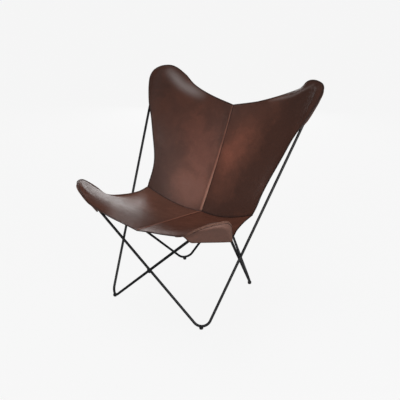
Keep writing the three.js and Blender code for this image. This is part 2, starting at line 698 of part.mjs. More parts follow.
// A pocket behind a lobe: its rim follows the panel's free edge step by step, its mouth runs from one
// edge to the other, and it passes behind the rod
function pocketGeometry(panel, tip, { sideSteps, topSteps, bowed, slack }, flip) {
  const away = outward(tip);
  const rim = [];
  for (let step = PANEL_STEPS - sideSteps; step < PANEL_STEPS; step += 1) {
    rim.push(new THREE.Vector2(0, step / PANEL_STEPS));
  }
  for (let step = 0; step <= topSteps; step += 1) {
    rim.push(new THREE.Vector2(step / PANEL_STEPS, 1));
  }
  const last = rim.length - 1;
  const mouth = (column) => {
    const bow = bowed * Math.sin((Math.PI * column) / last);
    const start = rim[0].clone().add(new THREE.Vector2(POCKET_HEM, 0));
    const end = rim[last].clone().add(new THREE.Vector2(0, -POCKET_HEM));
    return start.lerp(end, column / last).add(new THREE.Vector2(bow, -bow));
  };
  const grid = Array.from({ length: POCKET_STEPS_IN + 1 }, (_, row) => rim.map((edge, column) => {
    const at = edge.clone().lerp(mouth(column), row / POCKET_STEPS_IN);
    const seated = inGrid(panel.grid, at.x, at.y);
    const fromRim = seated.distanceTo(inGrid(panel.grid, edge.x, edge.y));
    const normal = inGrid(panel.normals, at.x, at.y).normalize();
    const backward = Math.sign(normal.dot(away)) * (LEATHER + CLEARANCE + POCKET_OPENING * fromRim);
    seated.addScaledVector(normal, backward);
    const behind = panel.patch(at.x, at.y);
    const { out, distance } = byRod(tip, behind);
    const height = ridge(Math.max(0, distance), POCKET_SLOPE, slack);
    behind.addScaledVector(away, softMax(out + LEATHER + slack, height) - out);
    return seated.lerp(behind, THREE.MathUtils.smoothstep(fromRim, 0, POCKET_RISE));
  }));
  return sheetGeometry(grid, thickened(gridNormals(grid)), flip);
}

const group = new THREE.Group();
group.name = 'butterfly_sling_chair';

function addPiece(name, geometry, material) {
  const mesh = new THREE.Mesh(geometry, material);
  mesh.name = name;
  group.add(mesh);
}

for (const [name, loop] of Object.entries(loops)) {
  const holes = Object.values(feet).filter((foot) => foot.loop === name).map(stemHole);
  const plainRod = toSolid(rodGeometry(loop.stations, ROD_RADIUS));
  const rod = holes.reduce((solid, hole) => solid.subtract(hole), plainRod);
  addPiece(`frame_loop_${name}`, toGeometry(rod), steelMaterial());
  addPiece(`loop_${name}_closing_weld`, closingWeld(loop), steelMaterial());
}
for (const [name, place] of Object.entries(crossings)) {
  addPiece(`weld_${name}`, crossingWeld(place(corners)), steelMaterial());
}
for (const [name, foot] of Object.entries(feet)) {
  addPiece(`glide_${name}`, glideGeometry(foot), glideMaterial());
}
for (const [name, side] of Object.entries(sides)) {
  const panels = panelPair(side, name === 'right');
  const backPocket = pocketGeometry(panels.back, side.backTip, BACK_POCKET, name === 'right');
  const frontPocket = pocketGeometry(panels.seat, side.frontTip, FRONT_POCKET, name === 'right');
  addPiece(`back_panel_${name}`, panels.back.geometry, leatherMaterial(0x4a2a20));
  addPiece(`seat_panel_${name}`, panels.seat.geometry, leatherMaterial(0x4f2e24));
  addPiece(`pocket_back_${name}`, backPocket, leatherMaterial(0x3f2620));
  addPiece(`pocket_front_${name}`, frontPocket, leatherMaterial(0x3f2620));
}

// The origin is under the middle of the whole chair, on the floor
const box = new THREE.Box3().setFromObject(group);
group.position.set(0, -(box.min.y + box.max.y) / 2, -FLOOR);
export default group;
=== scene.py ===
"""Butterfly sling chair: a leather sling hung by four corner pockets on two bent and welded rod loops.

Metres, +Z up, the sitter looks along -Y, and pieces called left lie on the -X side.
"""

import math

import bpy
import numpy as np
from bpy.props import FloatProperty, FloatVectorProperty, PointerProperty
from mathutils import Matrix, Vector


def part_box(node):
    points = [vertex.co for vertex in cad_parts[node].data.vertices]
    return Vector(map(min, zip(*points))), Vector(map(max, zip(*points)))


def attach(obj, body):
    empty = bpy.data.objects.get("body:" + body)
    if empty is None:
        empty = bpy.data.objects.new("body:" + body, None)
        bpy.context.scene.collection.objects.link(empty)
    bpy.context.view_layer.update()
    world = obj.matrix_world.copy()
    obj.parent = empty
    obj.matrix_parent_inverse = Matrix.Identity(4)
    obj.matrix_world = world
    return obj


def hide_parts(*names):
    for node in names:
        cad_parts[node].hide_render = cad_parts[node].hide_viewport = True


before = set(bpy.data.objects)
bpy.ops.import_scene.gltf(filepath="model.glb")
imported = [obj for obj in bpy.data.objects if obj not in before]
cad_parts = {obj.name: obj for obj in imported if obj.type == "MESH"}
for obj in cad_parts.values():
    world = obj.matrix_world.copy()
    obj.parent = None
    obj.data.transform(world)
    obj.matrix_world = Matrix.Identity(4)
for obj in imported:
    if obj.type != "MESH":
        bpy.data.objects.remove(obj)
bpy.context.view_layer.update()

bl_info = {
    "name": "Butterfly sling chair",
    "version": (1, 0, 0),
    "blender": (4, 5, 0),
    "location": "View3D > Sidebar > Sling chair",
    "description": "Builds a leather sling chair on its frame of bent rod",
    "category": "Add Mesh",
}


def length(metres, words):
    return FloatProperty(description=words, default=metres, precision=5, unit="LENGTH")


def angle(degrees, words):
    return FloatProperty(description=words, default=math.radians(degrees), subtype="ANGLE")


def share(value, words):
    return FloatProperty(description=words, default=value, precision=4)


def colour(rgb, words):
    return FloatVectorProperty(description=words, default=rgb, size=3, subtype="COLOR", min=0, max=1)


def labelled(group):
    """Label each setting of a group with its own name in plain letters"""
    for key, setting in group.__annotations__.items():
        setting.keywords["name"] = key.replace("_", " ").capitalize()
    return group


@labelled
class FrameSizes(bpy.types.PropertyGroup):
    """Corners and bends of the two rod loops"""
    rod_diameter: length(0.011, "Thickness of the bent rod")
    front_foot_half: length(0.2475, "Front foot corner from the middle")
    front_foot_y: length(-0.232, "Front foot corners along the chair")
    front_shift: length(0.009527, "Half the step between the front feet, so that the rods touch")
    left_half: length(0.195331, "Rear left foot corner from the middle")
    right_half: length(0.199039, "Rear right foot corner from the middle")
    rear_foot_y: length(0.232, "Rear foot corners along the chair")
    rear_shift: length(0.008382, "Half the step between the rear feet, so that the rods touch")
    front_tip_half: length(0.382, "Front tip corner from the middle")
    front_tip_y: length(-0.314, "Front tip corners along the chair")
    front_tip_height: length(0.587, "Front tip corners above the foot corners")
    back_tip_half: length(0.440, "Back tip corner from the middle")
    back_tip_y: length(0.384, "Back tip corners along the chair")
    back_tip_height: length(1.025, "Back tip corners above the foot corners")
    foot_bend_radius: length(0.039, "Bend radius of the feet")
    tip_bend_radius: length(0.043, "Bend radius of the tips")
    weld_from_bend: length(0.045, "Closing weld of a loop, from the bend of its back tip")
    weld_length: length(0.003, "Length of the closing weld")
    weld_swell: length(0.0002, "How far the closing weld stands out of the rod")
    bead_length: length(0.025, "Length of the weld bead where rods cross")
    bead_width: length(0.017, "Width of the weld bead where rods cross")
    bead_height: length(0.010, "Height of the weld bead where rods cross")
    bead_ripple: share(0.07, "Height of the ripples of a weld bead, as a share of its width")
    glide_height: length(0.008, "Rod above the floor at the lowest foot")
    glide_diameter: length(0.017, "Width of a floor glide")
    glide_flat: length(0.010, "Width of the flat face under a glide")
    glide_cup: length(0.003, "How far a glide reaches up round the rod")
    glide_dome: length(0.0048, "Height of the dome under a glide")
    glide_edge: length(0.0008, "Rounding of a glide's upper edge")
    glide_clearance: length(0.0001, "Gap between a glide and the rod in it")


@labelled
class SlingSizes(bpy.types.PropertyGroup):
    """Outline and seams of the leather sling"""
    leather: length(0.0035, "Thickness of the leather")
    crease_y: length(0.102, "Crease between seat and back at the middle, along the chair")
    crease_height: length(0.367, "Crease at the middle, above the foot corners")
    crease_half: length(0.284, "End of the crease from the middle")
    crease_end_y: length(0.067, "End of the crease along the chair")
    crease_end_height: length(0.434, "End of the crease above the foot corners")
    crease_sag: length(0.027, "Sag of the crease between the middle and its end")
    back_seam: length(0.501, "Centre seam of the back")
    recline: angle(28.9, "Lean of the back's centre seam")
    back_hollow: length(0.009, "Hollow of the back's centre seam")
    seat_seam: length(0.435, "Centre seam of the seat")
    seat_tilt: angle(9.0, "Rise of the seat's centre seam to the front")
    back_margin: length(0.023, "Leather round the rod at a back tip")
    back_side_rise: length(0.010, "Outer side of a back lobe above the bend's centre")
    back_side_reach: length(0.070, "Outer side of a back lobe beside the bend's centre")
    back_side_curl: length(0.006, "Outer side of a back lobe behind the rod")
    back_top_extra: length(0.006, "More leather on top of a back lobe")
    left_reach: length(-0.002, "Left back lobe longer than the margin gives")
    right_reach: length(0.011, "Right back lobe longer than the margin gives")
    back_shoulder_extra: length(0.014, "More leather towards the shoulder")
    back_curl: length(0.013, "Outer edge of a back lobe behind the rod")
    back_neck_depth: length(0.180, "Neck of the side edge below a back tip")
    back_neck_reach: length(0.082, "Neck of the side edge beside a back tip")
    back_root_depth: length(0.118, "Root of a back lobe below its tip")
    back_root_reach: length(0.086, "Root of a back lobe beside its tip")
    back_shoulder_reach: length(0.100, "Shoulder of a back lobe beside its tip")
    back_shoulder_rise: length(0.007, "Shoulder of a back lobe above the bend's centre")
    back_shoulder_lift: length(0.016, "Shoulder of a back lobe before the rod")
    right_shoulder_lift: length(0.010, "Shoulder of the right back lobe further before the rod")
    left_notch_drop: length(0.024, "Notch between the left back lobe and the top edge")
    right_notch_drop: length(0.012, "Notch between the right back lobe and the top edge")
    notch_part: share(0.17, "Place of a notch on the way from the shoulder to the centre seam")
    back_side_hollow: length(0.033, "Hollow of the back's side edge")
    top_dip: length(0.006, "Dip of the top edge beside the centre seam")
    front_margin: length(0.022, "Leather round the rod at a front tip")
    front_side_extra: length(0.016, "More leather on the outer side of a front lobe")
    front_edge_extra: length(0.010, "More leather on the front edge of a front lobe")
    front_shoulder_extra: length(0.032, "More leather towards the front shoulder")
    front_curl: length(0.004, "Front edge of a front lobe behind the rod")
    front_shoulder_depth: length(0.055, "Shoulder of a front lobe below its tip")
    front_shoulder_reach: length(0.117, "Shoulder of a front lobe beside its tip")
    front_shoulder_lift: length(0.008, "Shoulder of a front lobe above the rod")
    front_root_depth: length(0.090, "Root of a front lobe below its tip")
    front_root_reach: length(0.098, "Root of a front lobe beside its tip")
    front_root_lift: length(0.014, "Root of a front lobe above the rod")
    left_root_rise: length(0.012, "Root of the left front lobe above that of the right one")
    seat_side_dip: length(0.010, "Dip of the seat's side edge")
    seat_side_inset: length(0.014, "Inset of the seat's side edge")
    front_bulge: length(0.005, "Bulge of the front edge")
    drape_slack: length(0.002, "Slack of the leather over a rod tip")
    drape_round: length(0.014, "Rounding of the leather over a rod tip")
    drape_slope: share(1.4, "Fall of the leather beside a rod tip")
    drape_blend: length(0.014, "Softness of the ridge over a rod tip")
    drape_inside: share(0.12, "Fall of the leather inside the bend of a rod tip")
    drape_start: share(0.12, "Part of a panel by the crease in which the drape begins")
    crest_depth: length(0.100, "End of a back lobe's line of tension below its tip")
    crest_reach: length(0.171, "End of a back lobe's line of tension beside its tip")
    crest_fall: share(0.65, "Fall of the leather beside a line of tension")
    crest_round: length(0.016, "Rounding of the leather over a line of tension")
    # Painted highlights: pale streaks of light painted along the lines of tension of the back lobes
    left_bloom: share(0.74, "Pale bloom along the left line of tension")
    right_bloom: share(0.35, "Pale bloom along the right line of tension")
    left_bloom_width: length(0.022, "Half the width of the left bloom")
    right_bloom_width: length(0.006, "Half the width of the right bloom")
    right_bloom_rise: length(0.026, "Right bloom nearer to its tip than the left one")
    seat_sag: length(0.020, "Sag of the seat beside its side edge")
    front_crown: length(0.012, "Rise of the seat behind its front edge")
    pocket_slope: share(0.9, "Fall of the pocket beside the rod")
    back_pocket_slack: length(0.003, "Slack of a back pocket behind the rod")
    front_pocket_slack: length(0.005, "Slack of a front pocket behind the rod")
    pocket_opening: share(0.2, "How fast a pocket opens from its rim")
    pocket_seam: length(0.003, "Strip of a pocket pressed on the panel along its rim")
    pocket_rise: length(0.007, "Distance in which a pocket leaves the panel")
    back_pocket_close: share(0.12, "Part of a back pocket that lies on the panel at either end")
    front_pocket_close: share(0.05, "Part of a front pocket that lies on the panel at its far end")
    pocket_hem: share(0.05, "Hem at the ends of a pocket's mouth, as a share of the panel")
    pocket_corner: share(0.25, "Rounded part of a pocket's far end, as a share of its length")
    back_pocket_bow: share(0.06, "Bow of a back pocket's mouth, as a share of the panel")
    front_pocket_bow: share(-0.005, "Bow of a front pocket's mouth, as a share of the panel")
    clearance: length(0.0001, "Gap between a pocket and its panel")
    seam_gap: length(0.0001, "Gap between the panels at a seam")
    roll_low: length(0.0030, "Height of the turned seam edge at the crease")
    roll_high: length(0.0014, "Height of the turned seam edge at its far end")
    roll_width_low: length(0.015, "Width of the turned seam edge at the crease")
    roll_width_high: length(0.007, "Width of the turned seam edge at its far end")
    roll_corner: length(0.0016, "Rounding of the turned seam edge")
    roll_taper: share(0.8, "Part of a seam in which its turned edge tapers")
    groove: length(0.0008, "Dip of the under panel beside the turned seam edge")
    groove_width: length(0.006, "Width of that dip")
    seam_square: length(0.012, "Strip along the centre seam that stands square to it")
    seam_strip: length(0.004, "Strip along the centre seam that closes up to it")
    crease_fill: share(0.35, "Leather above the line of the crease, as a share of its mitre")
    stitch_pitch: length(0.0052, "Distance from stitch to stitch")
    stitch_length: length(0.0040, "Length of one stitch")
    thread: length(0.0009, "Thickness of the sewing thread")
    stitch_inset: length(0.0065, "Stitch rows from the edge of the leather")
    seam_stitch_lift: length(0.0003, "Stitches of the centre seam above the other ones")


@labelled
class LeatherWearAndLight(bpy.types.PropertyGroup):
    """How far the leather is stretched and so warm or rubbed pale, and where highlights, sheen, glow and
    shade are painted on it, from 0 to 1
    """
    left_back: share(0.22, "Stretch of the left back panel")
    left_back_inner: share(0.10, "More stretch of it away from its side edge")
    left_back_middle: share(0.48, "More stretch of it in the middle")
    # Painted glow: light painted on the left back panel above the crease, warmer there
    left_back_low: share(0.6, "More stretch of it above the crease")
    # Painted shade at the left back tip, given as less stretch there
    left_back_tip: share(0.12, "Less stretch of it at its tip")
    # Paler painted glow above the crease
    left_back_rub: share(0.24, "Rubbing of it above the crease")
    right_back: share(0.05, "Stretch of the right back panel")
    right_back_middle: share(0.80, "More stretch of it in the middle")
    back_roll: share(0.3, "More stretch of the back's turned seam edge")
    # Rubbing of the back's turned seam edge, and a painted highlight on its crest
    back_roll_rub: share(1.1, "Rubbing of the back's turned seam edge")
    back_roll_fade: share(0.8, "Part of that rubbing that fades towards the top")
    # Painted shade along the back's crease
    back_crease_dark: share(0.85, "Darkness of the back along the crease")
    # Painted shade at the back tips
    left_tip_dark: share(0.1, "Darkness of the left back tip")
    right_tip_dark: share(0.3, "Darkness of the right back tip")
    seat: share(0.36, "Stretch of the seat")
    # Stretch and painted sheen of the left seat panel towards the back
    seat_rear: share(0.16, "More stretch and rubbing of the left seat panel towards the back")
    seat_middle: share(0.20, "More stretch of the seat where the seams meet")
    seat_roll: share(0.5, "More stretch of the seat's turned seam edge")
    # Rubbing of the seat's turned seam edge, and a painted highlight on it
    seat_roll_rub: share(0.10, "Rubbing of the seat's turned seam edge")
    # Painted sheen: a pale reflection painted on the left seat panel
    left_seat_rub: share(0.04, "Rubbing of the left seat panel")
    # Painted sheen: a pale reflection of light painted on the front of the right seat panel
    right_seat_bloom: share(0.36, "Bloom on the front of the right seat panel")
    # Painted highlight on the rim of the right front lobe
    right_rim_rub: share(0.5, "Rubbing of the rim of the right front lobe")
    # Painted shade along the seat's crease
    seat_crease_dark: share(0.6, "Darkness of the seat along the crease")
    # Painted shade in the groove beside the centre seam; on the left panel, darker at the foot of the turned
    # seam edge
    seam_dark: share(0.8, "Darkness beside the centre seam")
    roll_foot_dark: share(0.4, "Darkness at the foot of the turned seam edge, as a share of that")
    pocket_stretch: share(0.55, "Stretch of the pockets")
    back_pocket_rub: share(0.2, "Rubbing of the back pockets")
    front_pocket_rub: share(0.36, "Rubbing of the front pockets")
    # Painted highlight on the rim of the right front pocket
    right_pocket_rim: share(0.3, "More rubbing of the right front pocket's rim")
    # Painted highlight: pale light painted on the front pockets
    front_pocket_bloom: share(0.1, "Bloom on the front pockets")


@labelled
class Finishes(bpy.types.PropertyGroup):
    """Colours of the chair, and of its painted highlights and painted shade"""
    leather_deep: colour((0.052, 0.0200, 0.0130), "Darkest patches of the leather")
    leather_body: colour((0.098, 0.0360, 0.0230), "Main colour of the leather")
    leather_warm: colour((0.205, 0.0680, 0.0430), "Leather where it is stretched")
    # Rubbed leather, also the colour of painted highlights, sheen and glow
    leather_worn: colour((0.300, 0.1500, 0.1080), "Leather where it is rubbed")
    # Colour of the painted highlights and painted sheen
    leather_bloom: colour((0.270, 0.2250, 0.2150), "Pale bloom of stretched wax")
    # Burnished edge, also the colour of the painted shade
    leather_edge: colour((0.016, 0.0080, 0.0065), "Burnished edge of the leather")
    leather_flesh: colour((0.095, 0.052, 0.036), "Rough back of the leather")
    thread: colour((0.050, 0.022, 0.015), "Sewing thread")
    coat: colour((0.007, 0.007, 0.008), "Powder coat of the rods")
    dust: colour((0.030, 0.030, 0.031), "Dust on the powder coat")
    glide: colour((0.014, 0.014, 0.015), "Plastic of the floor glides")
    scuff: colour((0.05, 0.05, 0.05), "Scuffed plastic of the floor glides")


@labelled
class StageSizes(bpy.types.PropertyGroup):
    """Floor, light and camera"""
    azimuth: angle(36.03, "Camera to the right of the chair's front")
    elevation: angle(22.16, "Camera above the horizon")
    distance: length(2.596, "Camera from its target")
    target_right: length(0.0531, "Target to the right of the chair's middle, as the camera sees it")
    target_up: length(0.0082, "Target above the aim height, as the camera sees it")
    aim_height: length(0.4316, "Height of the camera's aim")
    lens: share(54.54, "Focal length in millimetres on a 36 mm sensor")
    backdrop: share(0.922, "Brightness of the backdrop and the floor as the camera sees them")
    floor_shade: share(0.03, "How strongly the floor shows shadows")
    floor_light: share(0.9, "Light that falls on the open floor")
    floor_glow: share(0.14, "Light that the floor throws on the chair")
    surroundings: share(0.18, "Brightness of the dim studio round the chair")
    sun_strength: share(1.6, "Light from the matt ceiling, in watts per square metre")
    sun_width: angle(40.0, "Width of the ceiling light as the chair sees it")
    rear_power: share(43.0, "Power of the window behind the chair, in watts")
    key_power: share(85.0, "Power of the panel on the chair's right, in watts")
    front_power: share(22.0, "Power of the panel in front of the chair, in watts")
    fill_power: share(16.0, "Power of the low panel in front of the chair, in watts")


# Fineness of the meshes
BEND_STEPS = 28
ROD_SIDES = 28
RING_STEPS = 8
BEAD_RINGS = 40
BEAD_SIDES = 28
GLIDE_SIDES = 40
GRID = 152
PANEL_LINES = 116
RIM_STEPS = 8
POCKET_COLUMNS = 110
POCKET_ROWS = 44
STITCH_STEPS = 5
THREAD_SIDES = 6
SHARP_ANGLE = math.radians(55)

# Grid lines of a panel, in metres from its centre seam and from its crease
SEAM_LINES = (
    0.0, 0.0005, 0.001, 0.0016, 0.0023, 0.0031, 0.004, 0.005, 0.0062, 0.0076, 0.0092, 0.011, 0.013, 0.0153,
)
CREASE_LINES = (0.0, 0.0022, 0.003, 0.004, 0.0052, 0.0066, 0.0082, 0.01)
# Grid steps that measure a panel there, and the least gap between those lines and the even ones
SEAM_SPAN = 19
CREASE_SPAN = 20
LINE_GAP = 0.004

# Grid lines of a pocket, as parts of it: at its ends, between them, along its rim, inward, and at its mouth
POCKET_ENDS = (0, 0.003, 0.007, 0.012)
POCKET_BETWEEN = (0.018, 0.982)
POCKET_RIM = (0, 0.002, 0.006, 0.012, 0.02, 0.03, 0.042, 0.056, 0.072)
POCKET_FIELD = (0.09, 0.96)
POCKET_MOUTH = (0.975, 0.985, 0.993, 0.998, 1)

# Reach of a pocket along the side and along the end of its panel, where a whole edge counts POCKET_UNITS
POCKET_UNITS = 19
BACK_POCKET = (7.4, 10)
FRONT_POCKET = (9.6, 11.8)
# Where a front pocket's slack ends along its rim, and how its far corner is rounded
SLACK_END = (0.7, 0.95)
CORNER_POWER = 1.6
CORNER_LEAST = 0.1

# Points round a lobe: degrees from its tip, the size that adds leather there, and the share of its own shift
BACK_LOBE = ((-45, None, 0.5), (-10, None, 1), (25, "back_top_extra", 1), (55, "back_shoulder_extra", 1))
FRONT_LOBE = (
    (112, "front_side_extra", 0.8), (72, None, 0.2), (36, None, 0), (0, None, 0), (-35, None, 0),
    (-66, "front_edge_extra", 0), (-95, "front_shoulder_extra", 0),
)
# Part of the way to a lobe's shoulder or root in which its edge is lifted
BACK_LIFT_PART = 0.7
FRONT_LIFT_PART = 0.6
# Points along a free edge: part of the way, then shares of its hollow, of its dip or of its bulge
BACK_SIDE = ((0.27, 0.27, 1.0), (0.62, 0.15, 0.7))
SEAT_SIDE = ((0.29, 0.92), (0.66, 1.0))
FRONT_EDGE = ((0.36, 0.0), (0.7, 0.5))

# The crease: its lowest place from its end to the middle, and how far its arc is pulled for its sag
CREASE_LOW = 0.55
CREASE_PULL = 1.5
# The seat: powers of its sag across it, and where its crown begins and is highest
SAG_POWERS = (0.6, 1.2)
CROWN = (0.4, 0.8)
# A line of tension: its start, in radii of the bend, and the parts of it that count
CREST_START = 0.7
CREST_ENDS = (-0.2, 1.2)
# The painted highlight on it, a pale streak of light: points tipward and across from the bend's centre, and
# where it fades in and out
HIGHLIGHT_LINE = ((0.027, 0.025), (-0.049, 0.078), (-0.124, 0.161))
HIGHLIGHT_IN = (-0.35, 0.3)
HIGHLIGHT_OUT = (0.65, 1.2)

# Soft patches of a panel: place and half width across it, then place and half width along it
LEFT_BACK_MIDDLE = (0.84, 0.38, 0.44, 0.40)
# Painted glow of light on the left back panel above the crease
LEFT_BACK_PAINTED_GLOW = (0.70, 0.34, 0.12, 0.18)
RIGHT_BACK_MIDDLE = (0.86, 0.26, 0.53, 0.35)
SEAT_MIDDLE = (1.0, 0.25, 0.0, 0.5)
# Painted sheen on the front of the right seat panel
RIGHT_SEAT_SHEEN = (0.78, 0.2, 0.96, 0.05)
# Where the looks of a panel change, as parts of it
LEFT_BACK_INNER = (0.1, 0.5)
SEAT_FRONT = (0.35, 0.85)
ROLL_START = (-0.01, 0.03)
ROLL_FADE = (0.05, 0.75)
# Where a highlight is painted on the rim of the right front lobe
RIM_FRONT = (0.985, 1.0)
RIM_FRONT_END = (0.42, 0.58)
RIM_SIDE = 0.015
RIM_SIDE_START = 0.72
# Where they change in metres: from a tip's centre, and from a crease, a seam or a rim
TIP_AREA = (0.05, 0.17)
BACK_CREASE_WIDTH = 0.007
SEAT_CREASE_WIDTH = 0.004
SEAM_WIDTH = 0.005
POCKET_RIM_WIDTH = 0.003
# How the looks of a turned seam edge fall off across it
ROLL_POWER = 0.7
ROLL_RUB_POWER = 1.5
ROLL_FOOT_WIDTH = 0.12

# Marks along a leather edge, in metres from it, and depths of the relief
CREASED_LINE_IN = (0.0024, 0.0036)
CREASED_LINE_OUT = (0.0050, 0.0085)
BURNISHED_RIM = (0.0006, 0.0024)
FOLD_DEPTH = 0.0006
LINE_DEPTH = 0.0003
GRAIN_DEPTH = 0.00007
PORE_DEPTH = 0.00003

# Stitches: how far their ends sink and their bed rises, in threads, and the points of a row that are sewn
STITCH_SINK = 0.9
STITCH_BED = 0.25
LOBE_ROW = slice(6, -6)
POCKET_ROW = slice(8, -8)
# Row along a pocket's mouth, in stitch insets, and along the centre seam, in widths of its turned edge
HEM_ROW = 0.8
SEAM_ROW = 0.9
SEAM_ROW_U = np.linspace(1, 0.9, 60)
SEAM_ROW_V = np.linspace(0.02, 0.985, 160)

# Weld beads and glides: ripples, rings as shares of a radius, turns of a rounding, and reach of the saddle
BEAD_RIPPLES = 9
GLIDE_FLAT_RINGS = (0.25, 0.6, 0.92)
GLIDE_TOP_RINGS = (0.84, 0.76, 0.68, 0.6, 0.52, 0.44, 0.35, 0.25, 0.12)
GLIDE_DOME_TURNS = np.linspace(0.05, 1, 10) * math.pi / 2
GLIDE_EDGE_TURNS = (0.5, 1.0, 1.57)
SADDLE_REACH = 0.0002
# A direction that the axis of no turned piece follows
ASKEW = (0.3, 0.5, 0.8)

# Area lights: the setting of their power, width and height, place and aim
LAMPS = {
    "rear window": ("rear_power", (2.0, 2.2), (-1.75, 2.7, 1.25), (-0.1, -0.1, 0.6)),
    "front panel": ("front_power", (1.0, 0.8), (-0.65, -2.6, 1.86), (0, 0, 0.6)),
    "fill panel": ("fill_power", (4.0, 1.2), (1.4, -3.2, 0.65), (0, 0, 0.5)),
    "key panel": ("key_power", (2.4, 2.4), (3.0, -1.2, 1.5), (0, 0, 0.5)),
}
CEILING = ((-0.9, 0.2, 3.0), (0, 0, 0.4))
# Half the floor's width, the camera's sensor in millimetres, and the slope that counts as straight down
FLOOR_HALF = 40.0
SENSOR_WIDTH = 36.0
STEEP = 0.999


# Vectors, curves and grids


def vec(x, y, z):
    return np.array([x, y, z], float)


def unit(vectors):
    size = np.linalg.norm(vectors, axis=-1, keepdims=True)
    return vectors / np.maximum(size, 1e-12)


def smoothstep(values, low, high):
    part = np.clip((values - low) / (high - low), 0, 1)
    return part * part * (3 - 2 * part)


def hump(values, top, width):
    return np.exp(-((values - top) / width) ** 2)


def patch(u, v, spot):
    """A soft patch of a panel: place and half width across it, then along it"""
    return hump(u, *spot[:2]) * hump(v, *spot[2:])


def smooth_curve(points, parts):
    """Points of a centripetal curve through the given ones, by parts from 0 to 1"""
    points = np.array(points)
    longer = np.vstack([2 * points[0] - points[1], points, 2 * points[-1] - points[-2]])
    place = np.asarray(parts) * (len(points) - 1)
    first = np.minimum(place.astype(int), len(points) - 2)
    part = (place - first)[:, None]
    p0, p1, p2, p3 = (longer[first + step] for step in range(4))
    d0, d1, d2 = (np.sqrt(np.linalg.norm(b - a, axis=1))[:, None] for a, b in ((p0, p1), (p1, p2), (p2, p3)))
    t1 = ((p1 - p0) / d0 - (p2 - p0) / (d0 + d1) + (p2 - p1) / d1) * d1
    t2 = ((p2 - p1) / d1 - (p3 - p1) / (d1 + d2) + (p3 - p2) / d2) * d1
    cubic = 2 * p1 - 2 * p2 + t1 + t2
    square = -3 * p1 + 3 * p2 - 2 * t1 - t2
    return ((cubic * part + square) * part + t1) * part + p1


def arc_curve(start, middle, end, parts):
    parts = np.asarray(parts)[:, None]
    return (1 - parts) ** 2 * start + 2 * parts * (1 - parts) * middle + parts ** 2 * end


def stretched(crease, end, side, seam):
    """Grid stretched between four edges like leather: every point lies midway between its neighbours"""
    steps = len(crease) - 1
    grid = np.zeros((steps + 1, steps + 1, 3))
    grid[0], grid[-1], grid[:, 0], grid[:, -1] = crease, end, side, seam
    pull = np.zeros((steps - 1, steps - 1, 3))
    pull[0] += grid[0, 1:-1]
    pull[-1] += grid[-1, 1:-1]
    pull[:, 0] += grid[1:-1, 0]
    pull[:, -1] += grid[1:-1, -1]
    index = np.arange(1, steps)
    waves = np.sin(np.pi * np.outer(index, index) / steps) * math.sqrt(2 / steps)
    stiffness = 2 - 2 * np.cos(np.pi * index / steps)
    for axis in range(3):
        modes = waves @ pull[:, :, axis] @ waves / (stiffness[:, None] + stiffness)
        grid[1:-1, 1:-1, axis] = waves @ modes @ waves
    return grid


def cubic_weights(part):
    return np.stack([
        ((-part + 2) * part - 1) * part / 2,
        ((3 * part - 5) * part * part + 2) / 2,
        ((-3 * part + 4) * part + 1) * part / 2,
        (part - 1) * part * part / 2,
    ], -1)


def on_grid(grid, u, v):
    """Values of a grid in between its points, u along its rows and v across them"""
    padded = np.pad(grid, ((1, 1), (1, 1), (0, 0)), mode="reflect", reflect_type="odd")
    u, v = np.broadcast_arrays(u, v)
    steps_v, steps_u = grid.shape[0] - 1, grid.shape[1] - 1
    column = np.clip((u * steps_u).astype(int), 0, steps_u - 1)
    row = np.clip((v * steps_v).astype(int), 0, steps_v - 1)
    across = cubic_weights(u * steps_u - column)
    along = cubic_weights(v * steps_v - row)
    value = 0
    for i in range(4):
        for j in range(4):
            value = value + padded[row + i, column + j] * (along[..., i] * across[..., j])[..., None]
    return value


def grid_normals(grid):
    across = np.gradient(grid, axis=1)
    along = np.gradient(grid, axis=0)
    return unit(np.cross(across, along))


def distance_to(points, line):
    """Distance of each point from a line drawn through the given points"""
    flat = points.reshape(-1, 3)
    least = np.full(len(flat), np.inf)
    for a, b in zip(line[:-1], line[1:]):
        along = b - a
        part = np.clip((flat - a) @ along / max(along @ along, 1e-18), 0, 1)
        least = np.minimum(least, np.linalg.norm(flat - a - part[:, None] * along, axis=1))
    return least.reshape(points.shape[:-1])


# Frame: corners, bends and routes


class Bend:
    """Bend of the rod in a corner between two legs, with its directions in and out of its plane"""

    def __init__(self, corner, before, after, radius):
        to_before, self.to_after = unit(before - corner), unit(after - corner)
        half = math.acos(to_before @ self.to_after) / 2
        self.radius = radius
        self.sweep = math.pi / 2 - half
        self.tipward = -unit(to_before + self.to_after)
        self.across = unit(self.to_after - to_before)
        self.out = unit(np.cross(self.tipward, self.across))
        self.centre = corner - self.tipward * radius / math.sin(half)

    def at(self, turn):
        return self.centre + self.radius * (self.tipward * math.cos(turn) + self.across * math.sin(turn))

    def near(self, tipward, across, out):
        return self.centre + self.tipward * tipward + self.across * across + self.out * out

    def lowest(self):
        return self.at(math.atan2(-self.across[2], -self.tipward[2]))

    def by_rod(self, points):
        """How far points lie out of the bend's plane, and from the rod in it, negative inside the bend"""
        local = points - self.centre
        tipward, across = local @ self.tipward, local @ self.across
        in_bend = np.abs(np.arctan2(across, tipward)) < self.sweep
        beside = tipward * math.cos(self.sweep) + np.abs(across) * math.sin(self.sweep)
        return local @ self.out, np.where(in_bend, np.hypot(tipward, across), beside) - self.radius


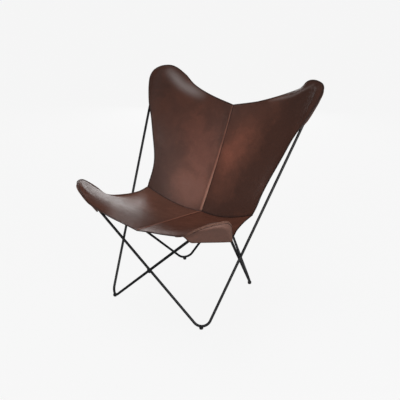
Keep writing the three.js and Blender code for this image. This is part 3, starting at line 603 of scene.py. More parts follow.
# Corners before and after each foot, round each loop, and at the ends of the two rods of each crossing
FEET = {
    "front_left": ("backLeftTip", "frontRightTip"), "front_right": ("frontLeftTip", "backRightTip"),
    "rear_left": ("backRightTip", "frontLeftTip"), "rear_right": ("frontRightTip", "backLeftTip"),
}
LOOPS = {
    "a": ("rearLeftFoot", "frontLeftTip", "frontRightFoot", "backRightTip"),
    "b": ("rearRightFoot", "frontRightTip", "frontLeftFoot", "backLeftTip"),
}
CROSSINGS = {
    "front": ("frontLeftFoot", "frontRightTip", "frontRightFoot", "frontLeftTip"),
    "rear": ("rearRightFoot", "backLeftTip", "rearLeftFoot", "backRightTip"),
    "left": ("frontLeftFoot", "backLeftTip", "rearLeftFoot", "frontLeftTip"),
    "right": ("rearRightFoot", "frontRightTip", "frontRightFoot", "backRightTip"),
}


def foot_corner(name):
    end, side = name.split("_")
    return end + side.capitalize() + "Foot"


def foot_bend(corners, name, sizes):
    before, after = FEET[name]
    return Bend(corners[foot_corner(name)], corners[before], corners[after], sizes.foot_bend_radius)


def frame_corners(sizes):
    """Corners of the frame in the chair's own place, and how far that is from the place of the sizes"""
    corners = {
        "frontLeftFoot": vec(-sizes.front_foot_half, sizes.front_foot_y - sizes.front_shift, 0),
        "frontRightFoot": vec(sizes.front_foot_half, sizes.front_foot_y + sizes.front_shift, 0),
        "rearRightFoot": vec(sizes.right_half, sizes.rear_foot_y - sizes.rear_shift, 0),
        "rearLeftFoot": vec(-sizes.left_half, sizes.rear_foot_y + sizes.rear_shift, 0),
    }
    back = vec(sizes.back_tip_half, sizes.back_tip_y, sizes.back_tip_height)
    front = vec(sizes.front_tip_half, sizes.front_tip_y, sizes.front_tip_height)
    for side, sign in (("Left", -1), ("Right", 1)):
        corners[f"back{side}Tip"] = back * vec(sign, 1, 1)
        corners[f"front{side}Tip"] = front * vec(sign, 1, 1)
    lows = {name: foot_bend(corners, name, sizes).lowest() for name in FEET}
    low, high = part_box("glide_front_left")
    floor = min(point[2] for point in lows.values()) - sizes.rod_diameter / 2 - sizes.glide_height
    shift = vec(0, (low.y + high.y) / 2 - lows["front_left"][1], -floor)
    return {name: corner + shift for name, corner in corners.items()}, shift


def loop_route(corners, names, sizes):
    """Points of a loop's centre line from its closing weld round to it, and the weld's place and heading"""
    bends = []
    for index, name in enumerate(names):
        radius = sizes.foot_bend_radius if name.endswith("Foot") else sizes.tip_bend_radius
        before, after = corners[names[index - 1]], corners[names[(index + 1) % len(names)]]
        bends.append(Bend(corners[name], before, after, radius))
    heading = bends[-1].to_after
    weld = bends[-1].at(bends[-1].sweep) + heading * sizes.weld_from_bend
    end_gap = heading * sizes.weld_length / 2
    turns = np.linspace(-1, 1, BEND_STEPS + 1)
    route = [bend.at(bend.sweep * turn) for bend in bends for turn in turns]
    return [weld + end_gap, *route, weld - end_gap], weld, heading


# Meshes and node trees


def new_piece(name, mesh, replaced):
    """A finished piece that rides on the chair's only body"""
    piece = bpy.data.objects.new(name, mesh)
    bpy.context.scene.collection.objects.link(piece)
    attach(piece, "root")
    if replaced:
        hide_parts(*replaced)
    return piece


def new_mesh(name, points, faces, material, attributes=None):
    mesh = bpy.data.meshes.new(name)
    mesh.from_pydata(np.asarray(points).tolist(), [], faces)
    for key, values in (attributes or {}).items():
        layer = mesh.attributes.new(key, "FLOAT", "POINT")
        layer.data.foreach_set("value", np.asarray(values, np.float32).ravel())
    mesh.materials.append(material)
    mesh.validate()
    mesh.shade_smooth()
    return mesh


def link(tree, source, target):
    tree.links.new(source, target)


def feed(tree, value, socket):
    """Link a socket to another one, or give it a plain value"""
    if isinstance(value, bpy.types.NodeSocket):
        link(tree, value, socket)
    else:
        socket.default_value = value


class Nodes:
    """A node tree under construction; inputs of its nodes are plain values or outputs of other nodes"""

    def node(self, kind, settings=None, **inputs):
        node = self.tree.nodes.new(kind)
        for key, value in (settings or {}).items():
            setattr(node, key, value)
        for key, value in inputs.items():
            feed(self.tree, value, node.inputs[key.replace("_", " ")])
        return node.outputs

    def math(self, operation, first, second):
        node = self.tree.nodes.new("ShaderNodeMath")
        node.operation = operation
        for socket, value in zip(node.inputs, (first, second)):
            feed(self.tree, value, socket)
        return node.outputs["Value"]

    def times(self, value, factor):
        return self.math("MULTIPLY", value, factor)


class NodeTree(Nodes):
    """A geometry node tree with named inputs"""

    def __init__(self, name, inputs):
        self.tree = bpy.data.node_groups.new(name, "GeometryNodeTree")
        self.tree.interface.new_socket(name="Geometry", in_out="OUTPUT", socket_type="NodeSocketGeometry")
        self.keys = {}
        for key, kind in {"Geometry": "NodeSocketGeometry", **inputs}.items():
            socket = self.tree.interface.new_socket(name=key, in_out="INPUT", socket_type=kind)
            self.keys[key] = socket.identifier
        self.source = self.tree.nodes.new("NodeGroupInput").outputs
        self.result = self.tree.nodes.new("NodeGroupOutput").inputs["Geometry"]

    def finish(self, geometry, material):
        whole = self.node("GeometryNodeRealizeInstances", Geometry=geometry)["Geometry"]
        smooth = self.node("GeometryNodeSetShadeSmooth", Geometry=whole)["Geometry"]
        dressed = self.node("GeometryNodeSetMaterial", Geometry=smooth, Material=material)["Geometry"]
        link(self.tree, dressed, self.result)


def grown(name, lines, rule, values, ups=None):
    """Plain mesh that a node tree grows along lines of points"""
    points, edges = [], []
    for line in lines:
        start = len(points)
        points += [tuple(point) for point in line]
        edges += [(start + step, start + step + 1) for step in range(len(line) - 1)]
    mesh = bpy.data.meshes.new(name + "_line")
    mesh.from_pydata(points, edges, [])
    if ups is not None:
        layer = mesh.attributes.new("up", "FLOAT_VECTOR", "POINT")
        layer.data.foreach_set("vector", np.vstack(ups).astype(np.float32).ravel())
    holder = bpy.data.objects.new(name + "_line", mesh)
    bpy.context.scene.collection.objects.link(holder)
    modifier = holder.modifiers.new(name, "NODES")
    modifier.node_group = rule.tree
    for key, value in values.items():
        modifier[rule.keys[key]] = value
    graph = bpy.context.evaluated_depsgraph_get()
    made = bpy.data.meshes.new_from_object(holder.evaluated_get(graph))
    made.name = name
    bpy.data.objects.remove(holder)
    bpy.data.meshes.remove(mesh)
    if not made.polygons:
        raise RuntimeError(f"{name} came out empty")
    return made


def rod_tree():
    """Round rod along a line"""
    rod = NodeTree("Bent rod", {
        "Rod diameter": "NodeSocketFloat", "Sides": "NodeSocketInt", "Coat": "NodeSocketMaterial",
    })
    sides, radius = rod.source["Sides"], rod.times(rod.source["Rod diameter"], 0.5)
    route = rod.node("GeometryNodeMeshToCurve", Mesh=rod.source["Geometry"])["Curve"]
    section = rod.node("GeometryNodeCurvePrimitiveCircle", Resolution=sides, Radius=radius)["Curve"]
    tube = rod.node("GeometryNodeCurveToMesh", Curve=route, Profile_Curve=section, Fill_Caps=True)["Mesh"]
    rod.finish(tube, rod.source["Coat"])
    return rod


def stitch_tree():
    """Arched stitches one after another along a line, each standing on the leather below it"""
    row = NodeTree("Stitch row", {
        "Pitch": "NodeSocketFloat", "Stitch length": "NodeSocketFloat", "Thread": "NodeSocketFloat",
        "Yarn": "NodeSocketMaterial",
    })
    pitch, thread = row.source["Pitch"], row.source["Thread"]
    path = row.node("GeometryNodeMeshToCurve", Mesh=row.source["Geometry"])["Curve"]
    spots = row.node("GeometryNodeCurveToPoints", {"mode": "LENGTH"}, Curve=path, Length=pitch)
    up = row.node("GeometryNodeInputNamedAttribute", {"data_type": "FLOAT_VECTOR"}, Name="up")["Attribute"]
    align = "FunctionNodeAlignRotationToVector"
    along = row.node(align, {"axis": "X"}, Vector=spots["Tangent"])["Rotation"]
    stood = row.node(align, {"axis": "Z", "pivot_axis": "X"}, Rotation=along, Vector=up)["Rotation"]
    sunk = row.times(thread, -STITCH_SINK)
    ends = []
    for factor in (-0.5, 0.5):
        reach = row.times(row.source["Stitch length"], factor)
        ends.append(row.node("ShaderNodeCombineXYZ", X=reach, Z=sunk)["Vector"])
    crown = row.node("ShaderNodeCombineXYZ", Z=thread)["Vector"]
    arch = row.node(
        "GeometryNodeCurveQuadraticBezier", Resolution=STITCH_STEPS, Start=ends[0], Middle=crown, End=ends[1])
    radius = row.times(thread, 0.5)
    strand = row.node("GeometryNodeCurvePrimitiveCircle", Resolution=THREAD_SIDES, Radius=radius)["Curve"]
    stitch = row.node("GeometryNodeCurveToMesh", Curve=arch["Curve"], Profile_Curve=strand, Fill_Caps=True)
    sewn = row.node(
        "GeometryNodeInstanceOnPoints", Points=spots["Points"], Instance=stitch["Mesh"], Rotation=stood)
    row.finish(sewn["Instances"], row.source["Yarn"])
    return row


# Materials


class Paint(Nodes):
    """A material under construction"""

    def __init__(self, name):
        self.material = bpy.data.materials.new(name)
        self.material.use_nodes = True
        self.tree = self.material.node_tree
        self.shader = self.tree.nodes["Principled BSDF"]
        self.place = self.tree.nodes.new("ShaderNodeTexCoord").outputs["Object"]

    def put(self, **values):
        for key, value in values.items():
            feed(self.tree, value, self.shader.inputs[key.replace("_", " ")])

    def noise(self, scale, detail=3.0, roughness=0.55, distortion=0.0, stretch=None):
        place = self.place
        if stretch:
            place = self.node("ShaderNodeMapping", Vector=place, Scale=stretch)["Vector"]
        form = {"Scale": scale, "Detail": detail, "Roughness": roughness, "Distortion": distortion}
        return self.node("ShaderNodeTexNoise", Vector=place, **form)["Fac"]

    def cells(self, scale):
        kind = {"feature": "DISTANCE_TO_EDGE"}
        return self.node("ShaderNodeTexVoronoi", kind, Vector=self.place, Scale=scale)["Distance"]

    def value_of(self, name):
        return self.node("ShaderNodeAttribute", {"attribute_name": name})["Fac"]

    def between(self, value, low, high, to_low=0.0, to_high=1.0, soft=True):
        kind = {"interpolation_type": "SMOOTHSTEP" if soft else "LINEAR"}
        ends = {"From Min": low, "From Max": high, "To Min": to_low, "To Max": to_high}
        return self.node("ShaderNodeMapRange", kind, Value=value, **ends)["Result"]

    def mix(self, part, first, second):
        node = self.tree.nodes.new("ShaderNodeMix")
        node.data_type = "RGBA"
        link(self.tree, part, node.inputs["Factor"])
        for key, value in (("A", first), ("B", second)):
            socket = next(s for s in node.inputs if s.identifier == key + "_Color")
            feed(self.tree, value if isinstance(value, bpy.types.NodeSocket) else (*value, 1), socket)
        return next(s for s in node.outputs if s.identifier == "Result_Color")

    def bump(self, height, depth, below=None):
        under = {} if below is None else {"Normal": below}
        return self.node("ShaderNodeBump", Height=height, Distance=depth, **under)["Normal"]


def leather_paint(name, tones, dull=0.0):
    """Waxed leather: cloudy colour, warm where it is stretched, paler where rubbed, painted highlights,
    sheen, glow and shade, dark burnished edges, a rough back
    """
    paint = Paint(name)
    cloud = paint.between(paint.noise(7.0, detail=4.0, roughness=0.6, distortion=0.6), 0.36, 0.66)
    blotch = paint.between(paint.noise(26.0, detail=5.0, roughness=0.62, distortion=0.9), 0.40, 0.72)
    speck = paint.between(paint.noise(240.0, roughness=0.7), 0.35, 0.75)
    clouds = paint.between(cloud, 0.0, 1.0, to_low=-0.10, to_high=0.10)
    blotches = paint.between(blotch, 0.0, 1.0, to_low=-0.05, to_high=0.05)
    pull = paint.math("ADD", paint.value_of("pull"), paint.math("ADD", clouds, blotches))
    tone = paint.mix(paint.between(pull, 0.0, 0.5, soft=False), tones.leather_deep, tones.leather_body)
    tone = paint.mix(paint.between(pull, 0.5, 1.0, soft=False), tone, tones.leather_warm)
    tone = paint.mix(paint.times(speck, 0.25), tone, tones.leather_deep)
    edge, worn, flesh = (paint.value_of(key) for key in ("edge", "worn", "flesh"))
    line_in = paint.between(edge, *CREASED_LINE_IN)
    line = paint.times(line_in, paint.between(edge, *CREASED_LINE_OUT, to_low=1.0, to_high=0.0))
    # Paler where rubbed, and where highlights, sheen and glow are painted
    tone = paint.mix(worn, tone, tones.leather_worn)
    # Painted highlights and painted sheen
    tone = paint.mix(paint.value_of("bloom"), tone, tones.leather_bloom)
    # Painted shade
    tone = paint.mix(paint.value_of("shade"), tone, tones.leather_edge)
    # Creased line along the edge, darkened also as painted shade under the edge
    tone = paint.mix(paint.times(line, 0.7), tone, tones.leather_edge)
    tone = paint.mix(flesh, tone, tones.leather_flesh)
    # Burnished rim, paler where rubbed and where a highlight is painted on it
    rim_tone = paint.mix(worn, tones.leather_edge, tones.leather_worn)
    tone = paint.mix(paint.between(edge, *BURNISHED_RIM, to_low=1.0, to_high=0.0), tone, rim_tone)
    grain = paint.between(paint.cells(620.0), 0.0, 0.12)
    pores = paint.noise(1500.0, detail=2.0, roughness=0.6)
    normal = paint.bump(paint.noise(48.0, detail=4.0, roughness=0.6, distortion=1.2), FOLD_DEPTH)
    normal = paint.bump(paint.math("SUBTRACT", 1.0, line), LINE_DEPTH, normal)
    normal = paint.bump(grain, GRAIN_DEPTH, normal)
    normal = paint.bump(pores, PORE_DEPTH, normal)
    both = paint.math("ADD", blotch, cloud)
    gloss = paint.between(both, 0.0, 2.0, to_low=0.50 + dull, to_high=0.36 + dull, soft=False)
    rough = paint.math("ADD", gloss, paint.times(flesh, 0.3))
    paint.put(Base_Color=tone, Roughness=rough, Normal=normal, Specular_IOR_Level=0.28)
    return paint.material


def thread_paint(tones):
    paint = Paint("Waxed thread")
    twist = paint.noise(2600.0, detail=2.0, roughness=0.5, stretch=(1.0, 1.0, 2.5))
    paint.put(Base_Color=paint.mix(twist, tones.leather_deep, tones.thread), Roughness=0.5)
    paint.put(Normal=paint.bump(twist, 0.0001))
    return paint.material


def coat_paint(tones):
    """Black powder coat with fine orange peel"""
    paint = Paint("Black powder coat")
    peel = paint.noise(900.0, detail=2.0, roughness=0.5)
    dust = paint.between(paint.noise(30.0, detail=4.0, roughness=0.6), 0.45, 0.8)
    paint.put(Base_Color=paint.mix(paint.times(dust, 0.25), tones.coat, tones.dust))
    paint.put(Roughness=paint.between(peel, 0.3, 0.7, to_low=0.34, to_high=0.44))
    paint.put(Normal=paint.bump(peel, 0.00004), Specular_IOR_Level=0.3)
    return paint.material


def glide_paint(tones):
    paint = Paint("Glide plastic")
    scuff = paint.between(paint.noise(350.0, detail=5.0, roughness=0.7), 0.5, 0.75)
    paint.put(Base_Color=paint.mix(paint.times(scuff, 0.5), tones.glide, tones.scuff))
    paint.put(Roughness=paint.between(scuff, 0.0, 1.0, to_low=0.45, to_high=0.7))
    paint.put(Normal=paint.bump(scuff, 0.00005))
    return paint.material


def finish(name):
    """The chair's material of that name, made when it is first needed"""
    found = bpy.data.materials.get(name)
    if found:
        return found
    tones = bpy.context.scene.sling_finishes
    makers = {
        "Sling leather": lambda: leather_paint("Sling leather", tones),
        "Pocket leather": lambda: leather_paint("Pocket leather", tones, dull=0.08),
        "Waxed thread": lambda: thread_paint(tones),
        "Black powder coat": lambda: coat_paint(tones),
        "Glide plastic": lambda: glide_paint(tones),
    }
    return makers[name]()


# Sling


class Side:
    """One half of the sling, worked out as a left one; the right one is mirrored"""

    def __init__(self, name, frame_sizes, sling):
        corners, self.shift = frame_corners(frame_sizes)
        self.name = name
        self.sign = 1 if name == "left" else -1
        other = "Right" if name == "left" else "Left"
        mine = "Left" if name == "left" else "Right"
        place = {key: corner * vec(self.sign, 1, 1) for key, corner in corners.items()}
        radius = frame_sizes.tip_bend_radius
        self.rod_radius = frame_sizes.rod_diameter / 2
        back, front = place[f"back{mine}Tip"], place[f"front{mine}Tip"]
        self.back_tip = Bend(back, place[f"front{mine}Foot"], place[f"rear{other}Foot"], radius)
        self.front_tip = Bend(front, place[f"front{other}Foot"], place[f"rear{mine}Foot"], radius)
        self.sling = sling
        self.crease_centre = vec(0, sling.crease_y, sling.crease_height) + self.shift
        self.crease_end = vec(-sling.crease_half, sling.crease_end_y, sling.crease_end_height) + self.shift
        self.back_up = vec(0, math.sin(sling.recline), math.cos(sling.recline))
        forward = vec(0, -math.cos(sling.seat_tilt), math.sin(sling.seat_tilt))
        self.top_centre = self.crease_centre + self.back_up * sling.back_seam
        self.front_centre = self.crease_centre + forward * sling.seat_seam

    def lobe(self, tip, margin, curl, lift, lift_end):
        """Points round a lobe by their angle, curled behind the rod on one side and lifted on the other"""
        def at(degrees, extra=0.0):
            turn = math.radians(degrees)
            radius = tip.radius + margin + extra
            across = radius * math.sin(turn)
            out = curl - (curl + lift) * smoothstep(across, -tip.radius / 2, lift_end)
            return tip.near(radius * math.cos(turn), across, out)
        return at

    def round_lobe(self, lobe, places, shift):
        """Points of an outline round a lobe, with their own leather and share of a shift"""
        points = []
        for degrees, extra, part in places:
            points.append(lobe(degrees, getattr(self.sling, extra) if extra else 0.0) + shift * part)
        return points

    def back_outline(self):
        s, tip = self.sling, self.back_tip
        left = self.sign > 0
        lift = s.back_shoulder_lift + (0 if left else s.right_shoulder_lift)
        lobe = self.lobe(tip, s.back_margin, s.back_curl, lift, s.back_shoulder_reach * BACK_LIFT_PART)
        neck = tip.near(-s.back_neck_depth, -s.back_neck_reach, -self.rod_radius)
        root = tip.near(-s.back_root_depth, -s.back_root_reach, -self.rod_radius)
        shoulder = tip.near(s.back_shoulder_rise, s.back_shoulder_reach, -lift)
        reach = tip.tipward * (s.left_reach if left else s.right_reach)
        drop = tip.tipward * (s.left_notch_drop if left else s.right_notch_drop)
        notch = shoulder + (self.top_centre - shoulder) * s.notch_part - drop
        side, hollow = root - self.crease_end, s.back_side_hollow
        return [
            self.crease_end,
            *(self.crease_end + side * part + vec(hollow * across, hollow * along, 0)
              for part, across, along in BACK_SIDE),
            neck, root,
            tip.near(s.back_side_rise, -s.back_side_reach, s.back_side_curl),
            *self.round_lobe(lobe, BACK_LOBE, reach),
            shoulder, notch,
            (notch + self.top_centre) / 2 - vec(0, 0, s.top_dip),
            self.top_centre,
        ]

    def seat_outline(self):
        s, tip = self.sling, self.front_tip
        lobe = self.lobe(
            tip, s.front_margin, s.front_curl, s.front_root_lift, s.front_root_reach * FRONT_LIFT_PART)
        rise = vec(0, 0, s.left_root_rise if self.sign > 0 else 0)
        root = tip.near(-s.front_root_depth, s.front_root_reach, -s.front_root_lift) + rise
        shoulder = tip.near(-s.front_shoulder_depth, -s.front_shoulder_reach, -s.front_shoulder_lift)
        side, edge = root - self.crease_end, self.front_centre - shoulder
        dip, inset, bulge = s.seat_side_dip, s.seat_side_inset, s.front_bulge
        return [
            self.crease_end,
            *(self.crease_end + side * part + vec(inset, 0, -dip * depth) for part, depth in SEAT_SIDE),
            root,
            *self.round_lobe(lobe, FRONT_LOBE, rise),
            shoulder,
            *(shoulder + edge * part + vec(0, -bulge, bulge * height) for part, height in FRONT_EDGE),
            self.front_centre,
        ]


class Panel:
    """One leather panel as grids: u from its free side to the centre seam, v from the crease to its end"""

    def __init__(self, side, kind):
        s = side.sling
        self.side, self.kind, self.sling = side, kind, s
        self.tip = side.back_tip if kind == "back" else side.front_tip
        self.facing = 1 if kind == "back" else -1
        parts = np.linspace(0, 1, GRID + 1)
        outline = side.back_outline() if kind == "back" else side.seat_outline()
        sag = vec(0, 0, -CREASE_PULL * s.crease_sag)
        crease_middle = side.crease_end + (side.crease_centre - side.crease_end) * CREASE_LOW + sag
        crease = arc_curve(side.crease_end, crease_middle, side.crease_centre, parts)
        if kind == "back":
            hollow = vec(0, side.back_up[2], -side.back_up[1]) * 2 * s.back_hollow
            seam_end = side.top_centre
        else:
            hollow, seam_end = vec(0, 0, 0), side.front_centre
        seam = arc_curve(side.crease_centre, (side.crease_centre + seam_end) / 2 + hollow, seam_end, parts)
        free = smooth_curve(outline, np.linspace(0, 1, 2 * GRID + 1))
        rough = stretched(crease, free[GRID:], free[:GRID + 1], seam)
        inset = free - self.outward_at_edge(rough) * s.leather / 2
        inset[0] = crease[0] + unit(crease[1] - crease[0]) * s.leather / 2
        inset[-1] = seam[-1] + unit(seam[-2] - seam[-1]) * s.leather / 2
        crease = crease + (inset[0] - crease[0]) * (1 - parts[:, None])
        seam = seam + (inset[-1] - seam[-1]) * parts[:, None]
        self.patch = stretched(crease, inset[GRID:], inset[:GRID + 1], seam)
        if kind == "seat":
            self.patch[..., 2] += self.crown(parts) - self.sag(parts)
        out, distance = self.tip.by_rod(self.patch)
        inside = np.where(distance < 0, s.drape_inside * distance, distance)
        need = self.ridge(inside, s.drape_slope, s.drape_slack)
        height = self.soft_max(-out, need)
        if kind == "back":
            height = self.soft_max(height, self.crest())
        lift = smoothstep(parts[:, None], 0, s.drape_start) * (height + out)
        self.grid = self.patch - self.tip.out * lift[..., None]
        self.normals = self.facing * grid_normals(self.grid)
        self.normals[-1, 0] = unit(self.normals[-1, 1] + self.normals[-2, 0])

    def ridge(self, distance, slope, slack):
        """Height that leather needs to clear the rod, falling away beside it"""
        s = self.sling
        top = self.side.rod_radius + s.leather / 2 + slack + s.drape_round
        return top - np.hypot(s.drape_round, slope * distance)

    def crest(self):
        """Height of the leather along the line of tension from the rod tip towards the middle of the back"""
        s, tip = self.sling, self.tip
        local = self.patch - tip.centre
        away = np.hypot(local @ tip.tipward + s.crest_depth, local @ tip.across - s.crest_reach)
        end = self.patch[np.unravel_index(np.argmin(away), away.shape)]
        aside = tip.radius * CREST_START
        start = tip.near(aside, aside, -self.side.rod_radius - s.leather)
        local, line = self.patch - start, end - start
        flat_line = line - tip.out * (line @ tip.out)
        part = np.clip(local @ flat_line / (flat_line @ flat_line), *CREST_ENDS)
        beside = local - tip.out * (local @ tip.out)[..., None] - part[..., None] * flat_line
        fall = np.hypot(s.crest_round, np.linalg.norm(beside, axis=2)) - s.crest_round
        at = -((start - tip.centre) @ tip.out) - part * (line @ tip.out)
        return at - s.crest_fall * fall

    def bloom(self, points):
        """Painted highlight: a pale streak of light along a back lobe's line of tension, from 0 to 1"""
        s, tip = self.sling, self.tip
        left = self.side.sign > 0
        strength = s.left_bloom if left else s.right_bloom
        width = s.left_bloom_width if left else s.right_bloom_width
        rise = tip.tipward * (0 if left else s.right_bloom_rise)
        line = np.array([tip.near(*place, -self.side.rod_radius) + rise for place in HIGHLIGHT_LINE])
        flat = points - tip.out * ((points - tip.centre) @ tip.out + self.side.rod_radius)[..., None]
        far = (points - line[0]) @ unit(line[-1] - line[0]) / np.linalg.norm(line[-1] - line[0])
        strength = strength * smoothstep(far, *HIGHLIGHT_IN) * (1 - smoothstep(far, *HIGHLIGHT_OUT))
        return strength * hump(distance_to(flat, line), 0, width)

    def sag(self, parts):
        """How far the seat sags, most beside its side edge"""
        u, v = parts[None, :], parts[:, None]
        near, far = SAG_POWERS
        return self.sling.seat_sag * 4 * (u ** near - u ** far) * 4 * v * (1 - v)

    def crown(self, parts):
        """How far the seat rises behind its front edge, from where it droops to that edge"""
        u, v = parts[None, :], parts[:, None]
        start, top = CROWN
        bow = np.where(v > top, 1 - ((v - top) / (1 - top)) ** 2, smoothstep(v, start, top))
        return self.sling.front_crown * 4 * u * (1 - u) * bow

    def soft_max(self, first, second):
        blend = self.sling.drape_blend
        near = np.maximum(0, 1 - np.abs(first - second) / blend)
        return np.maximum(first, second) + blend * near * near / 4

    def free_edge(self, grid):
        """Points of a grid along its free edge, from the crease over the lobe to the centre seam"""
        return np.concatenate([grid[:, 0], grid[-1, 1:]])

    def outward_at_edge(self, grid):
        normals = self.facing * grid_normals(grid)
        normals[-1, 0] = unit(normals[-1, 1] + normals[-2, 0])
        edge = self.free_edge(grid)
        return unit(self.facing * np.cross(self.free_edge(normals), np.gradient(edge, axis=0)))


def mirrored(points, side):
    return points * vec(side.sign, 1, 1)


def oriented(faces, side, flip):
    """Faces turned to point outwards on either side of the chair"""
    turn = (side.sign < 0) != flip
    return [face[::-1] for face in faces] if turn else faces


def strip(first, second):
    """Quads between two lines of vertex numbers"""
    return [(a, b, d, c) for a, b, c, d in zip(first[:-1], first[1:], second[:-1], second[1:])]


def sheet_quads(numbers):
    rows = []
    for low, high in zip(numbers[:-1], numbers[1:]):
        rows += strip(low, high)
    return rows


def panel_lines(panel):
    """Grid lines of a panel's mesh, close together at the centre seam and the crease"""
    by_seam = panel.grid[:, -1] - panel.grid[:, -1 - SEAM_SPAN]
    by_crease = panel.grid[CREASE_SPAN] - panel.grid[0]
    seam_size = np.linalg.norm(by_seam, axis=1).mean() * GRID / SEAM_SPAN
    crease_size = np.linalg.norm(by_crease, axis=1).mean() * GRID / CREASE_SPAN
    near_seam = 1 - np.array(SEAM_LINES[::-1]) / seam_size
    near_crease = np.array(CREASE_LINES) / crease_size
    even = np.linspace(0, 1, PANEL_LINES)
    u = np.concatenate([even[even < near_seam[0] - LINE_GAP], near_seam])
    v = np.concatenate([near_crease, even[even > near_crease[-1] + LINE_GAP]])
    return np.meshgrid(u, v)


def panel_mesh(panel, partner, name):
    """Closed mesh of a panel: grain side, flesh side, a round rim and mitred seams"""
    s, side = panel.sling, panel.side
    u, v = panel_lines(panel)
    points = on_grid(panel.grid, u, v)
    normals = unit(on_grid(panel.normals, u, v))
    from_seam = np.linalg.norm(points - points[:, -1:], axis=2)
    square = 1 - smoothstep(from_seam, 0, s.seam_square)
    normals[..., 0] *= 1 - square
    normals = unit(normals)
    half = s.leather / 2
    taper = smoothstep(v, 0.0, s.roll_taper)
    height = s.roll_low + (s.roll_high - s.roll_low) * taper
    width = s.roll_width_low + (s.roll_width_high - s.roll_width_low) * taper
    reach = np.clip(from_seam / width, 0, 1)
    if side.sign > 0:
        corner = s.roll_corner
        drop = corner - np.sqrt(np.maximum(0, corner ** 2 - np.maximum(0, corner - from_seam) ** 2))
        raised = height * np.cos(reach * math.pi / 2) ** 2 - drop
    else:
        raised = -s.groove * (1 - np.clip(from_seam / s.groove_width, 0, 1)) ** 2
    raised = raised * smoothstep(v, *ROLL_START)
    top_step, low_step = normals * (half + raised)[..., None], -normals * half
    other = unit(on_grid(partner.normals, u[0], np.zeros(u.shape[1])))
    other[-1] = unit(other[-1] * vec(0, 1, 1))
    shared = unit(normals[0] + other)
    mitre = shared * (half / np.sum(shared * normals[0], axis=1))[:, None]
    top_step[0], low_step[0] = mitre * s.crease_fill, -mitre
    seam_x = points[:, -1, 0].copy()
    points[:, -1, 0] = -s.seam_gap / 2
    closing = 1 - smoothstep(from_seam[:, :-1], 0, s.seam_strip)
    points[:, :-1, 0] += (-s.seam_gap / 2 - seam_x)[:, None] * closing
    inward = unit(points[1] - points[0])
    points[0] += inward * s.seam_gap / 2
    rows, columns = u.shape
    top = np.arange(rows * columns).reshape(rows, columns)
    low = top + rows * columns
    rim_line = [(row, 0) for row in range(rows)] + [(rows - 1, column) for column in range(1, columns)]
    rim_points = np.array([points[at] for at in rim_line])
    rim_normals = np.array([normals[at] for at in rim_line])
    rim_out = unit(panel.facing * np.cross(rim_normals, np.gradient(rim_points, axis=0)))
    tops = np.array([top_step[at] for at in rim_line])
    lows = np.array([low_step[at] for at in rim_line])
    turns = [math.pi * step / RIM_STEPS for step in range(1, RIM_STEPS)]
    rings = []
    for turn in turns:
        middle = (tops + lows) / 2 + (tops - lows) / 2 * math.cos(turn)
        rings.append(rim_points + middle + rim_out * half * math.sin(turn))
    everything = np.concatenate([
        (points + top_step).reshape(-1, 3), (points + low_step).reshape(-1, 3), *rings,
    ])
    ring_at = np.arange(len(rings) * len(rim_line)).reshape(len(rings), -1) + 2 * rows * columns
    rim_lines = [np.array([top[at] for at in rim_line]), *ring_at, np.array([low[at] for at in rim_line])]
    faces = sheet_quads(top.tolist())
    faces += [face[::-1] for face in sheet_quads(low.tolist())]
    for first, second in zip(rim_lines[:-1], rim_lines[1:]):
        faces += strip(second.tolist(), first.tolist())
    faces += strip(low[0].tolist(), top[0].tolist())
    faces += strip(top[:, -1].tolist(), low[:, -1].tolist())
    faces.append(tuple(int(line[0]) for line in rim_lines))
    faces.append(tuple(int(line[-1]) for line in rim_lines[::-1]))
    edge = distance_to(points, panel.free_edge(panel.grid)) + half
    edge[:, 0] = half
    edge[-1, :] = half
    looks = looks_of(panel, points, from_seam, u, v, reach)
    rim_rub_and_highlight = np.array([looks["worn"][at] for at in rim_line])
    rim_edge = [np.full(len(rim_line), half * (1 - math.sin(turn))) for turn in turns]
    rim_flesh = [np.full(len(rim_line), float(turn > math.pi / 2)) for turn in turns]
    zero = np.zeros(rows * columns)
    attributes = {
        "edge": np.concatenate([edge.ravel(), edge.ravel(), *rim_edge]),
        "flesh": np.concatenate([zero, zero + 1, *rim_flesh]),
        "worn": np.concatenate([looks["worn"].ravel(), zero, *[rim_rub_and_highlight] * len(rings)]),
    }
    for key in ("pull", "bloom", "shade"):
        attributes[key] = np.concatenate([looks[key].ravel(), zero, np.zeros(len(rim_line) * len(rings))])
    faces = oriented(faces, side, panel.facing < 0)
    mesh = new_mesh(name, mirrored(everything, side), faces, finish("Sling leather"), attributes)
    mesh.set_sharp_from_angle(angle=SHARP_ANGLE)
    return mesh


